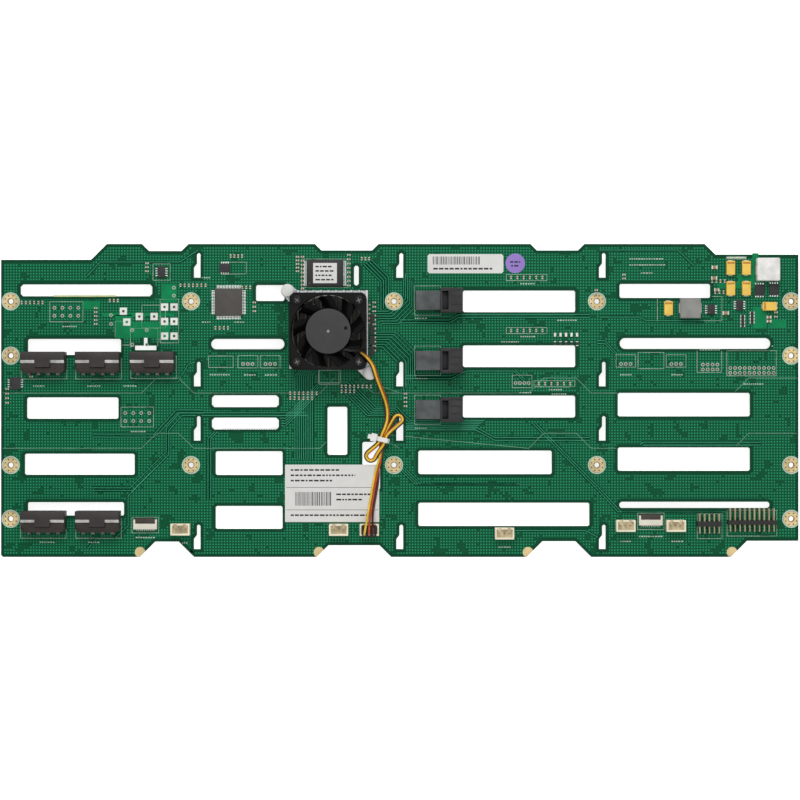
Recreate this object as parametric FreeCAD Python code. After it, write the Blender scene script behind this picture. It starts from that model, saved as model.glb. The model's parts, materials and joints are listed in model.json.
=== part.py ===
import FreeCAD, Part
import math
import os

# Cable side of a 24-bay drive backplane. The board lies flat with its cable side up, carried by the
# drive sockets on its underside. +X runs along the board, +Y across it, +Z up. The origin is on the
# floor under the middle of the board. All sizes are in millimetres.

# ---- Bay grid and board ------------------------------------------------------------------------
bay_pitch_x = 106.7            # one column of bays to the next
bay_pitch_y = 28.6             # one row of bays to the next
columns = 4
rows = 6
side_trim = 3.5                # the board stops short of the bays by this at its two ends
edge_trim = 3.4                # and by this along its long edges
board_thickness = 2.0
board_corner = 1.0
window_corner = 0.7            # flat that breaks a square window corner
window_soft_corner = 1.3       # the same on the windows with softer corners
window_end_flat = 0.01         # half the straight left in the middle of a full round end
seat_gap = 0.05                # running clearance between pieces that slot together

# Windows for cooling air: column, row gap, shift from the middle of the gap in x and y, length,
# height, corner. "square" and "soft" corners are broken by a flat, "round" has full round ends.
windows = [
    (1, 1, -5.0, 5.2, 69.5, 6.3, "soft"),
    (1, 2, -11.3, 4.0, 49.2, 8.4, "square"),
    (1, 3, -12.2, 0.4, 48.3, 11.2, "square"),
    (1, 4, -8.5, -0.6, 58.0, 11.1, "square"),
    (1, 5, -10.5, 4.5, 50.8, 7.1, "square"),
    (2, 1, -14.9, 3.8, 15.0, 8.4, "square"),
    (2, 2, -26.7, 5.5, 38.6, 5.4, "round"),
    (2, 3, -28.0, 4.0, 35.3, 6.2, "soft"),
    (2, 3, -28.0, -7.8, 35.3, 6.2, "soft"),
    (2, 3, 20.5, -11.6, 10.4, 25.3, "square"),
    (2, 4, 38.3, -1.4, 9.3, 25.1, "square"),
    (2, 4, -26.0, 0.0, 35.3, 12.5, "square"),
    (2, 5, -26.0, 0.0, 35.3, 12.1, "square"),
    (3, 1, 9.5, -0.6, 59.2, 11.4, "square"),
    (3, 2, 9.5, -0.9, 59.2, 11.4, "square"),
    (3, 3, 9.5, 1.2, 59.2, 11.5, "square"),
    (3, 4, -8.4, 0.4, 70.3, 12.4, "square"),
    (3, 5, 1.5, 1.6, 90.1, 12.3, "square"),
    (4, 1, -20.4, 4.9, 47.9, 7.4, "square"),
    (4, 2, -4.5, 5.8, 79.5, 5.7, "round"),
    (4, 3, -10.4, 2.2, 69.7, 12.3, "square"),
    (4, 4, -10.4, 2.1, 69.7, 12.3, "square"),
    (4, 5, -4.8, 6.6, 79.3, 3.3, "round"),
]
relief_slot = (2, 1, 30.5, 13.0, 2.5, 10.4)
tee_slot = (1, 2, 26.2, 3.5, 11.4, 2.4, 2.1, 4.1)   # bar length and width, stem width and length

# Steps in the long edges: edge (+1 is +Y), column joint, shift from it, flat length, depth.
edge_steps = [
    (1, 1, -16.8, 17.1, 3.7),
    (1, 2, -27.9, 26.6, 3.4),
    (1, 3, -23.7, 21.6, 3.4),
    (-1, 1, -15.9, 12.4, 8.1),
    (-1, 2, -24.1, 26.8, 6.2),
    (-1, 3, -22.9, 17.4, 8.3),
]
# Cut-back corners: edge, end (-1 is -X), length along the edge, depth.
shoulders = [
    (1, -1, 47.4, 8.3),
    (1, 1, 43.7, 5.6),
    (-1, 1, 27.1, 8.5),
]

# Keyhole slots that hook the board on its cage, on every column joint.
hook_rows = (1, 3, 4, 6)
hook_shift_y = -0.4
hook_length = 12.9
hook_wide = 3.6
hook_narrow = 2.0
hook_step = 2.2

# Screw holes: four along each end, three pairs inside.
hole_radius = 1.75
end_hole_left = 5.1            # hole axis to the left end of the board
end_hole_right = 3.8
end_hole_rows = (52.2, 23.6, -34.0, -62.3)
inner_hole_pitch = 106.85
inner_hole_shift = -3.05
inner_hole_rows = (52.2, -34.0)

# ---- Drive sockets on the underside ------------------------------------------------------------
drive_socket_shift_x = -21.95  # socket axis from the middle of its bay
drive_socket_shift_y = -4.4
drive_socket_length = 42.4
drive_socket_width = 6.0       # flange on the board
drive_socket_body = 5.0        # body below the flange
drive_socket_height = 8.5
drive_socket_flange = 1.8
blade_slot_length = 33.4
blade_slot_width = 1.6
blade_slot_depth = 6.2
blade_key = 2.6                # leg of the L-shaped end of the slot

# ---- Power sockets -----------------------------------------------------------------------------
power_socket_spots = [
    (1, 2, -26.7, -4.2),
    (1, 2, 1.9, -4.2),
    (1, 2, 30.5, -4.2),
    (1, 5, -26.7, -1.8),
    (1, 5, 1.9, -1.8),
]
power_width = 23.0
power_depth = 11.0
power_height = 10.2
power_rear_height = 8.2
power_roof = 3.9               # flat roof behind the mouth
power_slope = 2.4              # run of the slope down to the rear
power_rib = 8.0                # middle rib that keeps the full height
power_rib_depth = 8.2
power_corner = 1.6             # cut-off rear corners
power_mouth_width = 21.2
power_mouth_height = 6.8
power_mouth_depth = 8.4
power_mouth_key = 1.9          # cut-off upper corners of the mouth
power_floor = 1.5
power_pin = 1.8
power_pin_pitch = 5.08
power_pin_count = 4
power_pin_set_back = 1.4
power_leg_out = 1.2

# ---- Data ports --------------------------------------------------------------------------------
data_port_spots = [(3, 1, -20.4, -0.4), (3, 2, -20.4, -3.3), (3, 3, -20.4, -0.4)]
data_block_length = 12.7
data_block_width = 10.0
data_block_height = 8.6
data_shroud_length = 11.8
data_shroud_width = 13.0
data_shroud_height = 10.2
data_mouth_width = 10.6
data_mouth_height = 7.4
data_mouth_depth = 10.6
data_floor = 1.4
data_tongue_width = 8.6
data_tongue_height = 3.0
data_tongue_set_back = 5.4
data_latch_window_length = 3.2
data_latch_window_width = 9.6
data_latch_window_back = 1.1

# ---- Three-way fan headers ---------------------------------------------------------------------
fan_header_spots = [
    (1, 5, 44.9, -6.1),
    (2, 5, 21.3, -6.3),
    (2, 5, 37.4, -6.3),
    (3, 5, 1.6, -8.2),
    (4, 5, -41.5, -4.2),
    (4, 5, -15.1, -4.2),
]
plugged_header = 3
fan_header_length = 10.1
fan_header_width = 6.1
fan_header_height = 6.0
fan_header_wall = 0.9
fan_header_floor = 1.6
fan_header_key = 1.6
fan_pin = 0.64
fan_pin_pitch = 2.5
fan_pin_count = 3
fan_pin_height = 3.4

# ---- Two-row pin headers -----------------------------------------------------------------------
pin_pitch = 2.54
pin_side = 0.64
pin_row_drop = 0.04
header_height = 5.0
led_header_spot = (4, 5, 24.9, -2.4)
led_header_pins = 10
led_header_depth = 2.2
led_pin_reach = 6.3
switch_header_spot = (4, 5, 2.5, -3.2)
switch_header_pins = 5
switch_header_depth = 2.6
switch_pin_reach = 4.0
leg_reach = 1.2                # lower row of legs behind the housing

# ---- Ribbon-cable sockets ----------------------------------------------------------------------
ribbon_spots = [(1, 5, 26.2, -3.6), (4, 5, -28.1, -1.5)]
ribbon_length = 12.4
ribbon_depth = 5.2
ribbon_height = 2.4
ribbon_horn = 1.0
ribbon_horn_length = 2.2
ribbon_floor = 0.6
latch_height = 1.2
latch_depth = 2.9
latch_travel = 1.2

# ---- Fan, heatsink and the chip below ----------------------------------------------------------
cooler_spot = (2, 2, 16.2, 11.7)
expander_side = 27.0
expander_height = 2.6
duct_radius = 19.2
duct_wall = 0.8                # thinnest wall of the fan frame round the duct
fan_side = 2 * (duct_radius + duct_wall)
fan_height = 10.0
fan_corner = 3.4
fan_screw_inset = 4.0
fan_screw_pitch = fan_side - 2 * fan_screw_inset
fan_screw_head_radius = 2.6
fan_screw_head_height = 1.4
heatsink_margin = 0.5          # heatsink beyond the fan, on each side
heatsink_side = fan_side + 2 * heatsink_margin
heatsink_shift = 1.2           # its middle beyond the fan's, in y
heatsink_base = 2.5
heatsink_height = 7.4
heatsink_fins = 11
fin_thickness = 1.2
push_pin_offset = 1.1          # push pin's axis beyond the heatsink's side, in x and in y
push_pin_room = 0.5            # clear space round its head
ear_reach = heatsink_side / 2 + push_pin_offset
ear_radius = 3.6
ear_thickness = 1.5
push_pin_radius = 1.4
push_pin_head_radius = 3.25
push_pin_head_height = 2.2
push_pin_lift = 4.0            # head above the ear
push_pin_below = 2.2
hub_radius = 12.0
hub_height = 7.2
hub_gap = 1.0                  # motor plate to the hub
blade_count = 9
blade_tip_gap = 0.5
blade_thickness = 0.9
blade_camber = 0.12            # rise of the section as a share of its length
blade_angle = 38.0             # of the chord to the fan's plane
blade_sweep = 16.0             # tip ahead of root, degrees about the axis
blade_margin = 0.6             # blade short of the hub's height
blade_root_share = 0.78        # chord at the hub as a share of the longest that fits
blade_tip_share = 0.92         # and at the tip
blade_root_sink = 0.8          # root runs into the hub by this
blade_tip_trim = 0.6           # flat tip kept inside the round duct
motor_plate_radius = 11.4
motor_plate_thickness = 1.4
strut_width = 2.4
strut_count = 4
strut_shift = 0.5              # ends inside the frame's wall
shaft_radius = 1.0
shaft_clearance = 0.03
shaft_share = 0.75             # of the hub's height that the shaft reaches
bearing_radius = 2.4
bearing_height = 3.6
hub_wall = 1.2
hub_cup_depth = 3.0            # hollow under the hub, over the coils
magnet_thickness = 1.3
coil_radius = 8.8
coil_height = 3.2

# ---- Chips and power parts: column, gap, shift x, shift y, length, width, height ---------------
flash_chip = (2, 1, 14.05, 14.2, 19.4, 13.9, 1.2)
controller_chip = (2, 1, -36.7, -1.1, 14.5, 14.5, 1.6)
small_chips = [
    (1, 1, 34.65, 14.8, 4.0, 6.0, 1.6),
    (2, 1, -38.7, 16.9, 5.6, 4.7, 1.6),
    (1, 3, -42.25, 13.4, 5.8, 6.5, 1.6),
    (4, 1, 3.75, -4.9, 3.9, 5.0, 1.6),
    (4, 1, 18.75, -2.6, 3.8, 5.6, 1.2),
]
power_transistors = [(4, 1, 29.25, 5.3, 5.0, 6.0, 1.1), (4, 1, 36.85, 5.6, 5.0, 6.0, 1.1)]
large_inductor = (4, 1, 33.3, 16.0, 12.0, 12.0, 6.0)
small_inductor = (4, 1, -7.5, -4.3, 10.9, 10.6, 4.5)
tantalum_capacitors = [
    (4, 1, 13.9, 16.9, 4.5, 7.3, 2.9),
    (4, 1, 22.1, 16.9, 4.5, 7.3, 2.9),
    (4, 1, 13.9, 6.1, 4.5, 7.3, 2.9),
    (4, 1, 22.1, 6.1, 4.5, 7.3, 2.9),
    (4, 1, 34.3, -3.3, 7.3, 4.5, 2.9),
    (4, 1, -18.8, -4.3, 4.5, 7.3, 2.9),
]

ceramic_capacitors = [
    (4, 1, 5.5, 17.2, 3.0, 1.8, 1.3),
    (4, 1, 5.3, 11.6, 3.0, 1.8, 1.3),
    (4, 1, 6.7, 5.4, 2.6, 1.6, 1.0),
    (4, 1, 11.4, -6.8, 3.2, 1.8, 1.3),
    (4, 1, 34.2, -9.0, 2.4, 1.4, 1.0),
    (4, 1, 34.2, -11.1, 2.4, 1.4, 1.0),
]
resistor_length = 2.4
resistor_width = 1.2
resistor_height = 0.6
resistor_stacks = [(4, 1, 20.4, -11.0, 4), (4, 1, 25.4, -9.2, 4)]
resistor_stack_pitch = 1.7
led_row = (3, 1, 34.15, -18.2, 5)
led_row_pitch = 2.9
led_resistor_step = -4.7       # from a light to its resistor
led_length = 1.2
led_width = 2.0
led_height = 0.9
resistor_packs = (2, 1, 38.75, -18.35, 4)
resistor_pack_pitch = 5.6
resistor_pack_length = 2.4
resistor_pack_width = 5.0

# ---- Stickers ----------------------------------------------------------------------------------
sticker_thickness = 0.12
product_sticker = (2, 4, 17.75, -15.9, 49.6, 30.2)
serial_sticker = (3, 1, -18.75, 19.2, 39.9, 10.1)
serial_sticker_corner = 0.9
round_sticker = (3, 1, 7.45, 19.4, 10.3)
chip_sticker_length = 12.5
chip_sticker_width = 10.6

# ---- Fan lead ----------------------------------------------------------------------------------
# Three limp wires run as one bundle from the fan to its plug. The spare length is folded once and
# tied. Each point is x, y, height above the board of the two outer wires, their distance to each
# side of the bundle's middle, how far the middle wire rides above them, and how many degrees the
# three have rolled about the bundle's middle.
wire_diameter = 1.15
wire_sides = 6                 # flat sides of the tube inside that round
wires = [("fan_wire_yellow", 1), ("fan_wire_red", 0), ("fan_wire_black", -1)]
lead_route = [
    (-20.4, 25.0, 13.1, 0.72, 1.05, 120),
    (-17.2, 22.5, 13.1, 0.72, 1.05, 120),
    (-14.0, 18.2, 13.3, 0.72, 1.05, 120),
    (-12.4, 12.6, 12.6, 0.72, 1.3, 120),
    (-9.8, 5.8, 7.2, 0.72, 1.4, 120),
    (-6.8, -2.4, 1.5, 0.72, 1.3, 120),
    (-6.4, -9.6, 1.8, 0.72, 1.05, 120),
    (-7.9, -14.6, 3.6, 0.72, 1.05, 120),
    (-9.6, -17.9, 3.95, 0.72, 1.05, 120),
    (-10.7, -22.1, 3.95, 0.72, 1.05, 120),
    (-14.7, -25.5, 3.0, 0.72, 1.05, 120),
    (-17.6, -27.8, 1.9, 0.72, 1.05, 120),
    (-17.7, -30.3, 1.2, 0.72, 1.05, 120),
    (-15.8, -31.9, 1.0, 0.72, 1.05, 120),
    (-13.4, -31.3, 1.2, 0.72, 1.05, 120),
    (-12.3, -28.9, 2.7, 0.72, 1.05, 120),
    (-10.4, -25.9, 3.7, 0.72, 1.05, 120),
    (-8.1, -22.9, 3.95, 0.72, 1.05, 120),
    (-7.0, -18.5, 3.95, 0.72, 1.05, 120),
    (-4.2, -15.8, 3.4, 0.72, 1.05, 120),
    (-0.6, -12.8, 2.2, 0.72, 1.05, 120),
    (1.6, -10.9, 1.4, 0.72, 1.05, 120),
    (1.5, -8.8, 1.0, 0.72, 1.05, 120),
    (-0.2, -7.5, 0.8, 0.72, 1.05, 120),
    (-2.3, -7.8, 0.8, 0.72, 1.05, 120),
    (-3.9, -10.3, 0.8, 0.72, 1.05, 120),
    (-6.4, -14.7, 1.0, 0.72, 1.05, 120),
    (-8.3, -18.2, 1.65, 0.72, 1.05, 120),
    (-9.5, -23.0, 1.65, 0.72, 1.05, 120),
    (-10.3, -28.4, 0.85, 0.72, 1.05, 120),
    (-10.9, -32.6, 1.25, 0.75, 1.05, 80),
    (-11.5, -36.2, 1.2, 0.8, 1.0, 40),
    (-12.1, -39.8, 0.85, 1.05, 0.75, 0),
    (-12.8, -44.0, 0.75, 1.2, 0.2, 0),
    (-14.0, -51.0, 0.75, 1.2, 0.2, 0),
    (-15.2, -57.8, 0.8, 1.22, 0.2, 0),
    (-15.7, -61.9, 5.6, 1.35, 0.3, 0),
    (-15.85, -65.6, 11.0, 1.8, 0.3, 0),
    (-15.95, -68.25, 12.3, 2.25, 0.15, 0),
    (-15.95, -70.05, 11.2, 2.5, 0.0, 0),
    (-15.95, -70.15, 8.65, 2.5, 0.0, 0),
]
arc_share = 0.45               # of the shorter run on each side of a bend
lead_channel_length = 9.0      # channel out through the fan's rim
lead_channel_width = 4.6
plug_length = 7.4
plug_body_width = 4.2
plug_top_width = 6.0
plug_top_shift = -0.4
plug_top_height = 2.6
plug_lift = 0.05               # the seated plug above the header's floor
tie_spot = (-8.9, -20.6)
tie_turn = -14.0               # of the tie's band about Z, square to the wires
tie_hole = [(-1.5, 0.95), (1.5, 0.95), (2.8, 3.2), (2.8, 4.5), (2.1, 5.75), (-2.1, 5.75),
            (-2.8, 4.5), (-2.8, 3.2)]
tie_band = 0.85
tie_width = 2.4
tie_head_length = 3.2
tie_head_width = 4.2
tie_head_height = 2.8
tie_tail = 1.6

# ---- Sizes that follow -------------------------------------------------------------------------
board_length = columns * bay_pitch_x - 2 * side_trim
board_width = rows * bay_pitch_y - 2 * edge_trim
board_under = drive_socket_height
board_top = board_under + board_thickness
through = 1.0                  # how far a cutter runs past the face it leaves


# ---- Places ------------------------------------------------------------------------------------
def column_x(column):
    """Middle of a column of bays."""
    return (column - (columns + 1) / 2) * bay_pitch_x


def joint_x(joint):
    """Line between two columns of bays."""
    return column_x(joint) + bay_pitch_x / 2


def row_y(row):
    """Middle of a row of bays."""
    return ((rows + 1) / 2 - row) * bay_pitch_y


def socket_row_y(row):
    return row_y(row) + drive_socket_shift_y


def spot(place):
    """The x and y of a place given as column, row gap, shift x, shift y."""
    column, gap, shift_x, shift_y = place[:4]
    return (column_x(column) + shift_x, socket_row_y(gap) - bay_pitch_y / 2 + shift_y)


# ---- Shapes ------------------------------------------------------------------------------------
def vector(x, y, z):
    return FreeCAD.Vector(x, y, z)


def block(x, y, z, length, width, height):
    """A box whose middle is at x and y and whose underside is at z."""
    return Part.makeBox(length, width, height, vector(x - length / 2, y - width / 2, z))


def disc(x, y, z, radius, height):
    return Part.makeCylinder(radius, height, vector(x, y, z))


def faceted(x, y, z, radius, height, sides=8):
    """A small round drawn with flat sides."""
    turn = 2 * math.pi / sides
    corner = radius / math.cos(turn / 2)
    outline = [(x + corner * math.cos((step + 0.5) * turn),
                y + corner * math.sin((step + 0.5) * turn)) for step in range(sides)]
    return plate(outline, z, height)


def plate(points, z, height):
    """A flat outline in the XY plane, given its height."""
    loop = [vector(x, y, z) for x, y in points]
    return Part.Face(Part.makePolygon(loop + loop[:1])).extrude(vector(0, 0, height))


def bar_x(points, x, length):
    """A section in the YZ plane, drawn out along X from x."""
    loop = [vector(x, y, z) for y, z in points]
    return Part.Face(Part.makePolygon(loop + loop[:1])).extrude(vector(length, 0, 0))


def bar_y(points, y, length):
    """A section in the XZ plane, drawn out along Y from y."""
    loop = [vector(x, y, z) for x, z in points]
    return Part.Face(Part.makePolygon(loop + loop[:1])).extrude(vector(0, length, 0))


def upright_edges(shape):
    return [edge for edge in shape.Edges if abs(edge.tangentAt(edge.FirstParameter).z) > 0.99]


def save(node, solids):
    shape = solids[0] if len(solids) == 1 else Part.makeCompound(solids)
    shape.exportStep("parts/" + node + ".step")


# ---- Board -------------------------------------------------------------------------------------
def window_cutter(window):
    length, height, corner = window[4:]
    x, y = spot(window)
    cutter = block(x, y, board_under - through, length, height, board_thickness + 2 * through)
    if corner == "round":
        return cutter.makeFillet(min(length, height) / 2 - window_end_flat, upright_edges(cutter))
    flat = window_soft_corner if corner == "soft" else window_corner
    return cutter.makeChamfer(flat, upright_edges(cutter))


def relief_slot_cutter():
    x, y = spot(relief_slot)
    width, length = relief_slot[4:]
    cutter = block(x, y, board_under - through, width, length, board_thickness + 2 * through)
    return cutter.makeChamfer(width / 3, upright_edges(cutter))


def tee_slot_cutter():
    x, y = spot(tee_slot)
    bar_length, bar_width, stem_width, stem_length = tee_slot[4:]
    top = y + bar_width / 2
    outline = [
        (x - bar_length / 2, top - bar_width),
        (x + bar_length / 2, top - bar_width),
        (x + bar_length / 2, top),
        (x + stem_width / 2, top),
        (x + stem_width / 2, top + stem_length),
        (x - stem_width / 2, top + stem_length),
        (x - stem_width / 2, top),
        (x - bar_length / 2, top),
    ]
    return plate(outline, board_under - through, board_thickness + 2 * through)


def edge_step_cutter(step):
    edge, joint, shift, flat, depth = step
    x = joint_x(joint) + shift
    y = edge * board_width / 2
    slope = depth + through
    outline = [
        (x - flat / 2 - slope, y + edge * through),
        (x - flat / 2, y - edge * depth),
        (x + flat / 2, y - edge * depth),
        (x + flat / 2 + slope, y + edge * through),
    ]
    return plate(outline, board_under - through, board_thickness + 2 * through)


def shoulder_cutter(shoulder):
    edge, end, length, depth = shoulder
    x = end * board_length / 2
    y = edge * board_width / 2
    outline = [
        (x + end * through, y + edge * through),
        (x + end * through, y - edge * depth),
        (x - end * length, y - edge * depth),
        (x - end * (length + depth + through), y + edge * through),
    ]
    return plate(outline, board_under - through, board_thickness + 2 * through)


def hook_slot_cutter(joint, row):
    right = joint_x(joint) + hook_wide / 2
    y = row_y(row) + hook_shift_y
    top = y + hook_length / 2
    nose = hook_narrow / 3
    outline = [
        (right, y - hook_length / 2),
        (right, top - nose),
        (right - nose, top),
        (right - hook_narrow + nose, top),
        (right - hook_narrow, top - nose),
        (right - hook_narrow, y + hook_step / 2),
        (right - hook_wide, y - hook_step / 2),
        (right - hook_wide, y - hook_length / 2),
    ]
    return plate(outline, board_under - through, board_thickness + 2 * through)


def screw_hole_spots():
    ends = (end_hole_left - board_length / 2, board_length / 2 - end_hole_right)
    spots = [(x, y) for x in ends for y in end_hole_rows]
    for step in (-1, 0, 1):
        x = inner_hole_shift + step * inner_hole_pitch
        spots += [(x, y) for y in inner_hole_rows]
    return spots


def push_pin_spots():
    x, y = spot(cooler_spot)
    return [(x - ear_reach, y + ear_reach), (x + ear_reach, y - ear_reach)]


def make_board():
    board = block(0, 0, board_under, board_length, board_width, board_thickness)
    board = board.makeChamfer(board_corner, upright_edges(board))
    cutters = [window_cutter(window) for window in windows]
    cutters += [relief_slot_cutter(), tee_slot_cutter()]
    cutters += [edge_step_cutter(step) for step in edge_steps]
    cutters += [shoulder_cutter(shoulder) for shoulder in shoulders]
    for joint in range(1, columns):
        cutters += [hook_slot_cutter(joint, row) for row in hook_rows]
    low = board_under - through
    deep = board_thickness + 2 * through
    cutters += [disc(x, y, low, hole_radius, deep) for x, y in screw_hole_spots()]
    cutters += [faceted(x, y, low, push_pin_radius + seat_gap, deep) for x, y in push_pin_spots()]
    return board.cut(cutters)


# ---- Drive sockets -----------------------------------------------------------------------------
def make_drive_socket(x, y):
    flange = drive_socket_width / 2
    body = drive_socket_body / 2
    shelf = drive_socket_height - drive_socket_flange
    section = [
        (y - body, 0),
        (y + body, 0),
        (y + body, shelf),
        (y + flange, shelf),
        (y + flange, drive_socket_height),
        (y - flange, drive_socket_height),
        (y - flange, shelf),
        (y - body, shelf),
    ]
    socket = bar_x(section, x - drive_socket_length / 2, drive_socket_length)
    left = x - blade_slot_length / 2
    right = x + blade_slot_length / 2
    near = y + blade_slot_width / 2
    far = near - blade_key
    slot = [
        (left, near),
        (left, near - blade_slot_width),
        (right - blade_slot_width, near - blade_slot_width),
        (right - blade_slot_width, far),
        (right, far),
        (right, near),
    ]
    return socket.cut(plate(slot, -through, blade_slot_depth + through))


def make_drive_sockets(column):
    x = column_x(column) + drive_socket_shift_x
    return [make_drive_socket(x, socket_row_y(row)) for row in range(1, rows + 1)]


# ---- Power sockets -----------------------------------------------------------------------------
def make_power_pins(x, y):
    """Four square pins that stand in the mouth and bend down to the board behind the housing."""
    front = y + power_depth / 2 - power_pin_set_back
    back = y - power_depth / 2 - power_leg_out
    middle = board_top + power_floor + power_mouth_height / 2
    half = power_pin / 2
    section = [
        (front, middle - half),
        (front, middle + half),
        (back, middle + half),
        (back, board_top),
        (back + power_pin / 2, board_top),
        (back + power_pin / 2, middle - half),
    ]
    first = x - (power_pin_count - 1) / 2 * power_pin_pitch
    return [bar_x(section, first + index * power_pin_pitch - half, power_pin)
            for index in range(power_pin_count)]


def make_power_socket(x, y, pins):
    front = y + power_depth / 2
    rear = y - power_depth / 2
    roof = board_top + power_height
    low_roof = board_top + power_rear_height
    side = [
        (front, board_top),
        (front, roof),
        (front - power_roof, roof),
        (front - power_roof - power_slope, low_roof),
        (rear, low_roof),
        (rear, board_top),
    ]
    left = x - power_width / 2
    right = x + power_width / 2
    plan = [
        (left, front),
        (left, rear + power_corner),
        (left + power_corner, rear),
        (right - power_corner, rear),
        (right, rear + power_corner),
        (right, front),
    ]
    housing = bar_x(side, left, power_width).common(plate(plan, board_top, power_height))
    rib = block(x, front - power_rib_depth / 2, board_top, power_rib, power_rib_depth, power_height)
    floor = board_top + power_floor
    ceiling = floor + power_mouth_height
    half = power_mouth_width / 2
    mouth = [
        (x - half, floor),
        (x + half, floor),
        (x + half, ceiling - power_mouth_key),
        (x + half - power_mouth_key, ceiling),
        (x - half + power_mouth_key, ceiling),
        (x - half, ceiling - power_mouth_key),
    ]
    cavity = bar_y(mouth, front - power_mouth_depth, power_mouth_depth + through)
    return housing.fuse(rib).cut([cavity] + pins).removeSplitter()


# ---- Data ports --------------------------------------------------------------------------------
def make_data_port(face_x, y):
    """A port whose mouth faces +X, with its contact block behind."""
    shroud_x = face_x - data_shroud_length / 2
    back_x = face_x - data_shroud_length
    block_x = back_x - data_block_length / 2
    shroud = block(shroud_x, y, board_top, data_shroud_length, data_shroud_width,
                   data_shroud_height)
    rear = block(block_x, y, board_top, data_block_length, data_block_width, data_block_height)
    floor = board_top + data_floor
    mouth = block(face_x - data_mouth_depth / 2 + through / 2, y, floor,
                  data_mouth_depth + through, data_mouth_width, data_mouth_height)
    window = block(back_x + data_latch_window_back + data_latch_window_length / 2, y,
                   floor + data_mouth_height - through, data_latch_window_length,
                   data_latch_window_width, data_shroud_height)
    tongue_length = data_mouth_depth - data_tongue_set_back
    tongue_z = floor + (data_mouth_height - data_tongue_height) / 2
    tongue = block(face_x - data_tongue_set_back - tongue_length / 2, y, tongue_z,
                   tongue_length, data_tongue_width, data_tongue_height)
    return shroud.fuse(rear).cut([mouth, window]).fuse(tongue).removeSplitter()


# ---- Fan headers -------------------------------------------------------------------------------
def make_fan_pins(x, y):
    first = x - (fan_pin_count - 1) / 2 * fan_pin_pitch
    floor = board_top + fan_header_floor
    return [block(first + index * fan_pin_pitch, y, floor, fan_pin, fan_pin, fan_pin_height)
            for index in range(fan_pin_count)]


def make_fan_header(x, y):
    housing = block(x, y, board_top, fan_header_length, fan_header_width, fan_header_height)
    floor = board_top + fan_header_floor
    cavity = block(x, y, floor, fan_header_length - 2 * fan_header_wall,
                   fan_header_width - 2 * fan_header_wall, fan_header_height)
    keys = [block(x + side * fan_pin_pitch, y + fan_header_width / 2, floor, fan_header_key,
                  2 * fan_header_wall + through, fan_header_height) for side in (-1, 1)]
    return housing.cut([cavity] + keys)


# ---- Two-row pin headers -----------------------------------------------------------------------
def make_header_pins(x, y, count, depth, reach):
    """Right-angle pins in two rows; y is the front face of the housing."""
    back = y - depth
    pins = []
    for index in range(count):
        left = x + (index - (count - 1) / 2) * pin_pitch - pin_side / 2
        for row in (0, 1):
            middle = board_top + (row + 0.5) * pin_pitch - pin_row_drop
            leg = back - leg_reach - row * pin_pitch
            section = [
                (y + reach, middle - pin_side / 2),
                (y + reach, middle + pin_side / 2),
                (leg, middle + pin_side / 2),
                (leg, board_top),
                (leg + pin_side, board_top),
                (leg + pin_side, middle - pin_side / 2),
            ]
            pins.append(bar_x(section, left, pin_side))
    return pins


def make_header_housing(x, y, count, depth, pins):
    housing = block(x, y - depth / 2, board_top, count * pin_pitch, depth, header_height)
    return housing.cut(pins)


# ---- Ribbon-cable sockets ----------------------------------------------------------------------
def make_ribbon_socket(x, y):
    """A low housing with two horns; the latch bar slides between them towards +Y."""
    front = y + ribbon_depth / 2
    root = front - ribbon_horn_length
    half = ribbon_length / 2
    outline = [
        (x - half, y - ribbon_depth / 2),
        (x + half, y - ribbon_depth / 2),
        (x + half, front),
        (x + half - ribbon_horn, front),
        (x + half - ribbon_horn, root),
        (x - half + ribbon_horn, root),
        (x - half + ribbon_horn, front),
        (x - half, front),
    ]
    body = plate(outline, board_top, ribbon_height)
    shelf = block(x, front - ribbon_horn_length / 2, board_top,
                  ribbon_length - 2 * ribbon_horn, ribbon_horn_length, ribbon_floor)
    return body.fuse(shelf).removeSplitter()


def make_ribbon_latch(x, y):
    root = y + ribbon_depth / 2 - ribbon_horn_length + seat_gap
    width = ribbon_length - 2 * ribbon_horn - 2 * seat_gap
    bar = block(x, root + latch_depth / 2, board_top + ribbon_floor + seat_gap, width,
                latch_depth, latch_height)
    front_edges = [edge for edge in bar.Edges
                   if min(vertex.Y for vertex in edge.Vertexes) > root + latch_depth - seat_gap
                   and min(vertex.Z for vertex in edge.Vertexes) > bar.BoundBox.ZMax - seat_gap]
    return bar.makeChamfer(latch_height / 3, front_edges)


# ---- Cooler: chip, heatsink, push pins ---------------------------------------------------------
heatsink_under = board_top + expander_height
heatsink_top = heatsink_under + heatsink_height
fan_top = heatsink_top + fan_height
ear_top = heatsink_under + ear_thickness


def make_heatsink():
    x, y = spot(cooler_spot)
    side = heatsink_side
    middle_y = y + heatsink_shift
    base = block(x, middle_y, heatsink_under, side, side, heatsink_base)
    ears = []
    holes = []
    for pin_x, pin_y in push_pin_spots():
        across = ear_radius / math.sqrt(2)
        outline = [
            (pin_x - across, pin_y - across),
            (pin_x + across, pin_y + across),
            (x + across, y + across),
            (x - across, y - across),
        ]
        ears.append(plate(outline, heatsink_under, ear_thickness))
        ears.append(disc(pin_x, pin_y, heatsink_under, ear_radius, ear_thickness))
        holes.append(faceted(pin_x, pin_y, heatsink_under - through, push_pin_radius + seat_gap,
                             ear_thickness + 2 * through))
        holes.append(faceted(pin_x, pin_y, ear_top, push_pin_head_radius + push_pin_room,
                             heatsink_height, 16))
    fin_pitch = (side - fin_thickness) / (heatsink_fins - 1)
    first = x - side / 2 + fin_thickness / 2
    fins = [block(first + index * fin_pitch, middle_y, heatsink_under + heatsink_base, fin_thickness,
                  side, heatsink_height - heatsink_base) for index in range(heatsink_fins)]
    return base.fuse(ears + fins).cut(holes).removeSplitter()


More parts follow.
